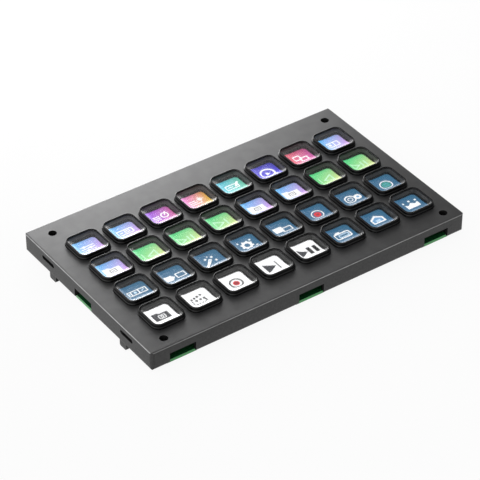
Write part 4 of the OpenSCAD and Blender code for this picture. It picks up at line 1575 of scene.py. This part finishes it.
@dataclass
class BoardDetails:
    """Leads, end caps, tracks, vias and printed outlines on the underside of the board, and its tabs' ends."""

    repeats: Repeats
    under: float = LEVELS.board_under
    sheet: Flat = (0.01, 1.59)  # low and high side of the lips over the board's underside
    chips: tuple[Chip, ...] = (
        Chip("processor", 24, 0.5, "xy", 0.24, 0.9, 1.15),
        Chip("memory_chip", 14, 0.5, "x", 0.22, 0.7, 1.0),
        Chip("flash_chip", 4, 1.27, "y", 0.42, 0.9, 1.1),
        Chip("power_chips", 3, 0.95, "y", 0.4, 0.6, 1.0),
        Chip("chokes", 1, 1.0, "x", 2.6, 0.5, 0.7),
        Chip("crystal", 2, 1.9, "x", 0.9, 0.35, 0.6),
    )
    lead_drop: float = 0.075
    lead_thick: float = 0.14
    lead_overlap: float = 0.1
    cap_width: float = 0.34
    cap_inset: float = 0.15
    cap_shift: float = 0.03
    cap_grow: Point = (0.04, 0.04, -0.02)
    # Number of tracks, gap between them and corners of the first one.
    routes: tuple[tuple[int, float, tuple[Flat, ...]], ...] = (
        (9, -0.5, ((-10.5, 14.6), (-10.5, 18.0), (-4.5, 24.0), (20.0, 24.0), (27.0, 31.0), (27.0, 50.0))),
        (7, -0.45, ((-15.9, 2.0), (-24.0, 2.0), (-46.0, 24.0), (-46.0, 50.0))),
        (5, -0.5, ((-6.0, 14.6), (-6.0, 15.6), (-2.6, 19.0), (14.0, 19.0))),
        (10, 0.5, ((0.0, 4.6), (5.2, 4.6))),
        (4, 0.6, ((0.1, 0.4), (8.2, 0.4), (9.5, -0.9), (9.5, -2.2))),
        (8, 0.6, ((-11.0, -6.0), (-11.0, -18.0), (-30.0, -37.0), (-72.0, -37.0))),
        (8, 0.6, ((-4.5, -6.0), (-4.5, -20.0), (12.0, -36.5), (74.0, -36.5))),
        (3, 1.6, ((-76.0, 30.0), (-50.0, 30.0))),
        (3, 1.6, ((50.0, 28.0), (76.0, 28.0), (82.0, 22.0), (82.0, -24.0))),
    )
    copper_sunk: float = 0.01
    ink_sunk: float = 0.008
    via_count: int = 260
    via_area: tuple[Flat, Flat] = ((-89.0, 89.0), (-51.0, 46.0))
    bolt_room: Flat = (5.0, 8.0)
    via_clear: float = 1.4
    via_gap: float = 1.5
    lip_inset: float = 1.01
    lip_reach: float = 2.2
    lip_outline: tuple[Flat, ...] = ((8.55, 0.01), (7.4, 1.15), (7.4, 1.59))
    lip_start: float = 6.6
    lip_places: tuple[Flat, ...] = ((-77.0, -1.0), (-1.0, -1.0), (77.0, -1.0), (-77.0, 1.0), (77.0, 1.0))
    lip_end_y: float = 3.0
    slot_reach: float = 2.95
    slot_start: float = 1.5
    slot_radius: float = 3.6
    tube_radius: float = 3.36
    tube_turns: tuple[float, ...] = tuple(6.0 + 12.0 * n for n in range(8))
    mouth_inset: float = 1.41
    wall_inset: float = 2.05

    def leads(self) -> list[bpy.types.Object]:
        """Puts leads on the chips.

        Returns:
            The pieces.
        """
        made = []
        for chip, (axis, name) in itertools.product(self.chips, enumerate("xy")):
            if name not in chip.along:
                continue
            points = []
            for low, high in islands(chip.node):
                out = (high[axis] - low[axis] + chip.reach) / 2 - self.lead_overlap
                for side, n in itertools.product(SIDES, range(chip.count)):
                    place = (low + high) / 2
                    place[axis] += side * out
                    place[1 - axis] += (n - (chip.count - 1) / 2) * chip.pitch
                    place.z = self.under - self.lead_drop
                    points.append(place)
            size = (chip.size, chip.reach) if axis else (chip.reach, chip.size)
            made.append(self.repeats.blocks.make(f"leads_{chip.node}_{name}", points, [], Finish.TIN,
                                                 Size=(*size, self.lead_thick)))
        return made

    def caps(self) -> list[bpy.types.Object]:
        """Puts metal ends on the small parts.

        Returns:
            The pieces, one for each size of end.
        """
        ends: dict[tuple[float, ...], list[Vector]] = {}
        for low, high in islands("capacitors", "resistors"):
            size, middle = high - low, (low + high) / 2
            axis = 0 if size.x > size.y else 1
            middle.z += math.copysign(self.cap_shift, middle.z - LEVELS.board_top)
            end = [round(length + grow, 3) for length, grow in zip(size, self.cap_grow)]
            end[axis] = self.cap_width
            for side in SIDES:
                place = middle.copy()
                place[axis] += side * (size[axis] / 2 - self.cap_inset)
                ends.setdefault(tuple(end), []).append(place)
        return [self.repeats.blocks.make(f"end_caps_{i}", points, [], Finish.TIN, Size=size)
                for i, (size, points) in enumerate(sorted(ends.items()), 1)]

    def _strips(self, name: str, lines: Iterable[Sequence[Flat]], closed: bool, sunk: float, finish: Finish,
                **size: float) -> bpy.types.Object:
        """Lays flat strips under the board.

        Args:
            name: Name of the piece.
            lines: Corner points of each strip.
            closed: Whether each strip comes back to its start.
            sunk: How far below the board their middles lie.
            finish: Their finish.
            size: Their width and height.

        Returns:
            The piece.
        """
        points: list[Point] = []
        edges: list[tuple[int, int]] = []
        for line in lines:
            start, count = len(points), len(line)
            points += [(x, y, self.under - sunk) for x, y in line]
            edges += [(start + i, start + (i + 1) % count) for i in range(count if closed else count - 1)]
        return self.repeats.tracks.make(name, points, edges, finish, **size)

    @staticmethod
    def _bundle(count: int, gap: float, route: Sequence[Flat]) -> list[list[Flat]]:
        """Finds parallel tracks that follow one route.

        Args:
            count: Number of tracks.
            gap: Distance between two of them, above 0 where the others lie to the left of the first.
            route: Corner points of the first track.

        Returns:
            Corner points of each track.
        """
        ways = [Vector(end) - Vector(start) for start, end in zip(route, route[1:])]
        lefts = [Vector((-way.y, way.x)).normalized() for way in ways]
        outs = [(before + after) / (1.0 + before.dot(after)) * gap
                for before, after in zip([lefts[0], *lefts], [*lefts, lefts[-1]])]
        return [[(x + n * out.x, y + n * out.y) for (x, y), out in zip(route, outs)] for n in range(count)]

    def tracks(self) -> bpy.types.Object:
        """Returns the bundles of tracks between the processor and the parts round it."""
        lines = [line for route in self.routes for line in self._bundle(*route)]
        return self._strips("board_tracks", lines, False, self.copper_sunk, Finish.TRACK, Width=0.26, Height=0.03)

    def outlines(self) -> bpy.types.Object:
        """Prints a thin outline round each larger part.

        Returns:
            The outlines.
        """
        lines = []
        for chip in self.chips:
            for low, high in islands(chip.node):
                (x0, y0), (x1, y1) = (v - chip.outline for v in low.xy), (v + chip.outline for v in high.xy)
                lines.append([(x0, y0), (x1, y0), (x1, y1), (x0, y1)])
        return self._strips("printed_outlines", lines, True, self.ink_sunk, Finish.INK, Width=0.16, Height=0.02)

    def vias(self) -> list[bpy.types.Object]:
        """Scatters vias and rows of test pads on the free parts of the board.

        Returns:
            The pieces.
        """
        chance = random.Random(7)
        keep_out = islands(*(chip.node for chip in self.chips), "capacitors", "resistors", "board_screws")
        near, z = self.via_clear, self.under - self.copper_sunk
        vias: list[Point] = []
        while len(vias) < self.via_count:
            x, y = (chance.uniform(*span) for span in self.via_area)
            clear = all(not (low.x - near < x < high.x + near and low.y - near < y < high.y + near)
                        for low, high in keep_out)
            corner = any(abs(x - a) < self.bolt_room[0] and abs(y - b) < self.bolt_room[1] for a, b in BOLTS)
            if clear and not corner and all(math.hypot(x - a, y - b) > self.via_gap for a, b, _ in vias):
                vias.append((x, y, z))
        pads = [(-30.0 + 3.0 * n, -14.0, z) for n in range(6)] + [(26.0 + 3.0 * n, -10.0, z) for n in range(5)]
        discs = self.repeats.discs
        return [discs.make("board_vias", vias, [], Finish.TIN, Radius=0.22, Height=0.04, Sides=10),
                discs.make("test_pads", pads, [], Finish.GOLD, Radius=0.75, Height=0.05, Sides=20)]

    def _tab_ends(self, draft: Draft, middle: float, face: float, along_x: bool) -> None:
        """Adds the slanted ends of one tab.

        Args:
            draft: Where the shapes are collected.
            middle: Place of its middle along the wall.
            face: Place of the wall's outer face.
            along_x: Whether the wall runs along X.
        """
        for side in SIDES:
            slotted = along_x and side * middle > TRAY_HALF[0] / 2
            start = self.slot_start if slotted else self.lip_start
            outline = [(start, self.sheet[0]), *self.lip_outline, (start, self.sheet[1])]
            rings = []
            for depth in (self.lip_inset, self.slot_reach if slotted else self.lip_reach):
                level = face - math.copysign(depth, face)
                ring = [(middle + side * a, level, self.under + z) for a, z in outline]
                rings.append(ring if along_x else [(y, x, z) for x, y, z in ring])
            draft.loft(rings)

    def _slot_side(self, draft: Draft, bolt: Flat, side: float) -> None:
        """Fills the board between a wall and one side of a bolt's tube.

        Args:
            draft: Where the shapes are collected.
            bolt: Middle of the bolt.
            side: -1 for its left side, 1 for its right side.
        """
        x, y = bolt
        front = math.copysign(1.0, y)
        arc = [(x + side * self.tube_radius * math.cos(t), y + front * self.tube_radius * math.sin(t))
               for t in map(math.radians, self.tube_turns)]
        mouth = front * (TRAY_HALF[1] - (self.mouth_inset if side * x < 0.0 else self.wall_inset))
        edge = x + side * self.slot_radius
        outline = [*arc, (arc[-1][0], mouth), (edge, mouth), (edge, arc[0][1])]
        draft.prism(outline if side * front > 0.0 else outline[::-1],
                    self.under + self.sheet[0] + 0.01, self.under + self.sheet[1] - 0.01)

    def lips(self) -> bpy.types.Object:
        """Widens the board's tabs to the slanted mouths of the wall notches.

        Returns:
            The lips of all the tabs, with the fillings beside the bolts.
        """
        draft = Draft()
        for middle, way in self.lip_places:
            self._tab_ends(draft, middle, way * TRAY_HALF[1], True)
        for way in SIDES:
            self._tab_ends(draft, self.lip_end_y, way * TRAY_HALF[0], False)
        for bolt, side in itertools.product(BOLTS, SIDES):
            self._slot_side(draft, bolt, side)
        return draft.build("board_lips", Finish.BOARD, 20.0)

    def build(self) -> int:
        """Makes all the details.

        Returns:
            The number of pieces.
        """
        made = [(piece, "steel") for piece in (*self.leads(), *self.caps())]
        made += [(self.tracks(), "board_green"), (self.outlines(), "board_green")]
        made += [(piece, "steel") for piece in self.vias()]
        made.append((self.lips(), "board_green"))
        for piece, slot in made:
            ride(piece, CHASSIS, slot)
        return len(made)


@dataclass
class UsbContacts:
    """Gold contacts on both faces of the socket's tongue."""

    x: float = -1.0
    mouth_y: float = 56.95
    inset: float = 1.1
    z: float = 3.2
    lift: float = 0.35
    pitch: float = 0.5
    count: int = 12
    size: Point = (0.26, 3.2, 0.05)

    def build(self, repeats: Repeats) -> bpy.types.Object:
        """Lays the contacts.

        Args:
            repeats: Trees for what repeats.

        Returns:
            The contacts.
        """
        y = self.mouth_y - self.inset - self.size[1] / 2
        points = [(self.x + (n - (self.count - 1) / 2) * self.pitch, y, self.z + side * self.lift)
                  for n, side in itertools.product(range(self.count), SIDES)]
        piece = repeats.blocks.make("usb_contacts", points, [], Finish.GOLD, Size=self.size)
        return ride(piece, CHASSIS, "steel")


class NodeFinishes:
    """Gives the carried-over solids their finishes."""

    NODES: dict[Finish, tuple[str, ...]] = {
        Finish.SMOKED: ("contact_film",), Finish.FRAME: ("key_frame", "usb_tongue"), Finish.GLASS: ("lcd_panel",),
        Finish.AMBER: ("screen_ribbon",), Finish.WHITE_FILM: ("diffuser_sheet", "reflector_sheet"),
        Finish.GUIDE: ("light_guide",), Finish.LAMPS: ("light_strip",), Finish.STEEL: ("screen_back", "usb_shell"),
        Finish.FOAM: ("foam_pads",), Finish.BOARD: ("main_board",),
        Finish.CHIP: ("display_driver", "processor", "memory_chip", "flash_chip", "power_chips", "resistors"),
        Finish.FERRITE: ("chokes",), Finish.SCREW: ("crystal", "board_screws"), Finish.CERAMIC: ("capacitors",),
        Finish.CONNECTOR: ("screen_connector", "film_connector"),
    }

    def dress(self, nodes: dict[str, bpy.types.Object]) -> int:
        """Sets the material of each solid that stays.

        Args:
            nodes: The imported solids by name.

        Returns:
            The number of solids.
        """
        for finish, names in self.NODES.items():
            for name in names:
                materials = nodes[name].data.materials
                materials.clear()
                materials.append(finish.material)
        return sum(len(names) for names in self.NODES.values())


# ---------------------------------------------------------------- studio


@dataclass(frozen=True)
class Lamp:
    """A rectangular lamp that fades towards its edges. Its radiance is 1 where its middle is white."""

    name: str
    place: Point
    aim: Point
    size: Flat
    radiance: float

    def build(self) -> None:
        """Puts the lamp in the scene."""
        data = bpy.data.lights.new(self.name, "AREA")
        data.shape = "RECTANGLE"
        data.size, data.size_y = (length * MM for length in self.size)
        data.energy = self.radiance * math.pi * data.size * data.size_y
        data.use_nodes = True
        nodes = Nodes(data.node_tree)
        across = nodes.node("SeparateXYZ", {0: nodes.node("NewGeometry").outputs["Parametric"]}).outputs
        outs = [nodes.maths("MULTIPLY_ADD", across[axis], 2.0, -1.0) for axis in "XY"]
        fades = [nodes.maths("SUBTRACT", 1.0, nodes.maths("MULTIPLY", out, out)) for out in outs]
        nodes.feed(data.node_tree.nodes["Emission"].inputs["Strength"], nodes.maths("MULTIPLY", *fades))
        lamp = put(self.name, data)
        lamp.location = Vector(self.place) * MM
        lamp.rotation_euler = (Vector(self.place) - Vector(self.aim)).to_track_quat("Z", "Y").to_euler()
        lamp.visible_camera = False


@dataclass
class Studio:
    """Floor, lamps, sky and camera."""

    azimuth: float = -35.378
    elevation: float = 37.841
    roll: float = 0.082
    distance: float = 1237.395
    shift_right: float = 2.724
    shift_up: float = -0.111
    aim_z: float = 2.4
    lens: float = 183.75
    sensor: float = 36.0
    clip: Flat = (0.01, 50.0)
    floor_half: float = 3000.0
    side_light: float = 2.09
    horizon_light: float = 0.86
    lamps: tuple[Lamp, ...] = (
        Lamp("low back lamp", (85, 300, 70), (0, 0, 60), (420, 340), 4.6),
        Lamp("back lamp", (54, 308, 79), (0, 0, 13), (190, 190), 3.6),
        Lamp("upper back lamp", (80, 275, 250), (-40, 0, 13), (220, 150), 0.5),
        Lamp("front lamp", (275, -365, 400), (0, 0, 13), (360, 360), 1.25),
    )

    def camera(self) -> None:
        """Sets the camera, looking at the keypad from its left front corner."""
        a, e, r = (math.radians(v) for v in (self.azimuth, self.elevation, self.roll))
        back = Vector((math.sin(a) * math.cos(e), -math.cos(a) * math.cos(e), math.sin(e)))
        right = Vector((math.cos(a), math.sin(a), 0.0))
        up = back.cross(right)
        turned_right = math.cos(r) * right + math.sin(r) * up
        turned_up = -math.sin(r) * right + math.cos(r) * up
        aim = -self.shift_right * turned_right - self.shift_up * turned_up + Vector((0.0, 0.0, self.aim_z))
        data = bpy.data.cameras.new("camera")
        data.lens = self.lens
        data.sensor_width = self.sensor
        data.clip_start, data.clip_end = self.clip
        camera = put("camera", data)
        frame = Matrix((turned_right, turned_up, back)).transposed().to_4x4()
        frame.translation = (aim + self.distance * back) * MM
        camera.matrix_world = frame
        bpy.context.scene.camera = camera

    def floor(self) -> None:
        """Lays the floor."""
        draft = Draft()
        h = self.floor_half
        draft.add([(-h, -h, 0.0), (h, -h, 0.0), (h, h, 0.0), (-h, h, 0.0)], [(0, 1, 2, 3)])
        piece = draft.build("studio_floor", Finish.FLOOR, turn_out=False)
        piece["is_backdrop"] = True

    def sky(self) -> None:
        """Sets a plain sky, pale along the horizon and lighter on the left than on the right."""
        world = bpy.data.worlds.new("studio")
        world.use_nodes = True
        nodes = Nodes(world.node_tree)
        way = nodes.node("SeparateXYZ", {0: nodes.node("TexCoord").outputs["Generated"]}).outputs
        left = nodes.maths("ADD", nodes.maths("MULTIPLY", way["X"], -0.5), 0.5)
        side = nodes.maths("MULTIPLY", nodes.maths("POWER", left, 2.0), self.side_light)
        low = nodes.maths("ABSOLUTE", nodes.maths("SUBTRACT", nodes.maths("ABSOLUTE", way["Z"]), 1.0))
        rim = nodes.maths("MULTIPLY", nodes.maths("POWER", low, 3.0), self.horizon_light)
        back = world.node_tree.nodes["Background"].inputs
        nodes.feed(back["Color"], PLAIN)
        nodes.feed(back["Strength"], nodes.maths("ADD", side, rim))
        bpy.context.scene.world = world

    def build(self) -> None:
        """Sets up the studio."""
        self.sky()
        self.floor()
        for lamp in self.lamps:
            lamp.build()
        self.camera()
        bpy.context.scene.view_settings.view_transform = "Standard"


# ---------------------------------------------------------------- all together


def box_lists() -> list[list[float]]:
    """Returns the box of everything shown, as plain lists."""
    return [[float(v) for v in corner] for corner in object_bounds()]


def main() -> list[list[float]]:
    """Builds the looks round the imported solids.

    Returns:
        The box of the solids, as loaded.
    """
    logging.basicConfig(level=logging.INFO, format="%(name)s: %(message)s")
    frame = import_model()
    solids = box_lists()
    grid, repeats = KeyGrid(), Repeats()
    log.info("solids dressed: %d", NodeFinishes().dress(frame["nodes"]))
    tray = Tray().build(frame["nodes"]["tray"])
    # Counts the faces that carry the painted highlight along the edge.
    log.info("tray: %d faces, %d with the painted highlight", len(tray.data.polygons),
             sum(face.material_index == 2 for face in tray.data.polygons))
    log.info("key pieces: %d", Keys(grid).build(repeats))
    log.info("mat pieces: %d", SwitchMat(grid).build(frame["nodes"]["switch_mat"]))
    pictures = Pictures(KeyGrid(pitch_y=21.5, middle_y=-3.0)).build()
    log.info("pictures: %d faces", len(pictures.data.polygons))
    log.info("board details: %d", BoardDetails(repeats).build())
    log.info("contacts: %s", UsbContacts().build(repeats).name)
    Studio().build()
    log.info("studio ready")
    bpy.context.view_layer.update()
    return solids


if __name__ == "__main__":
    main()
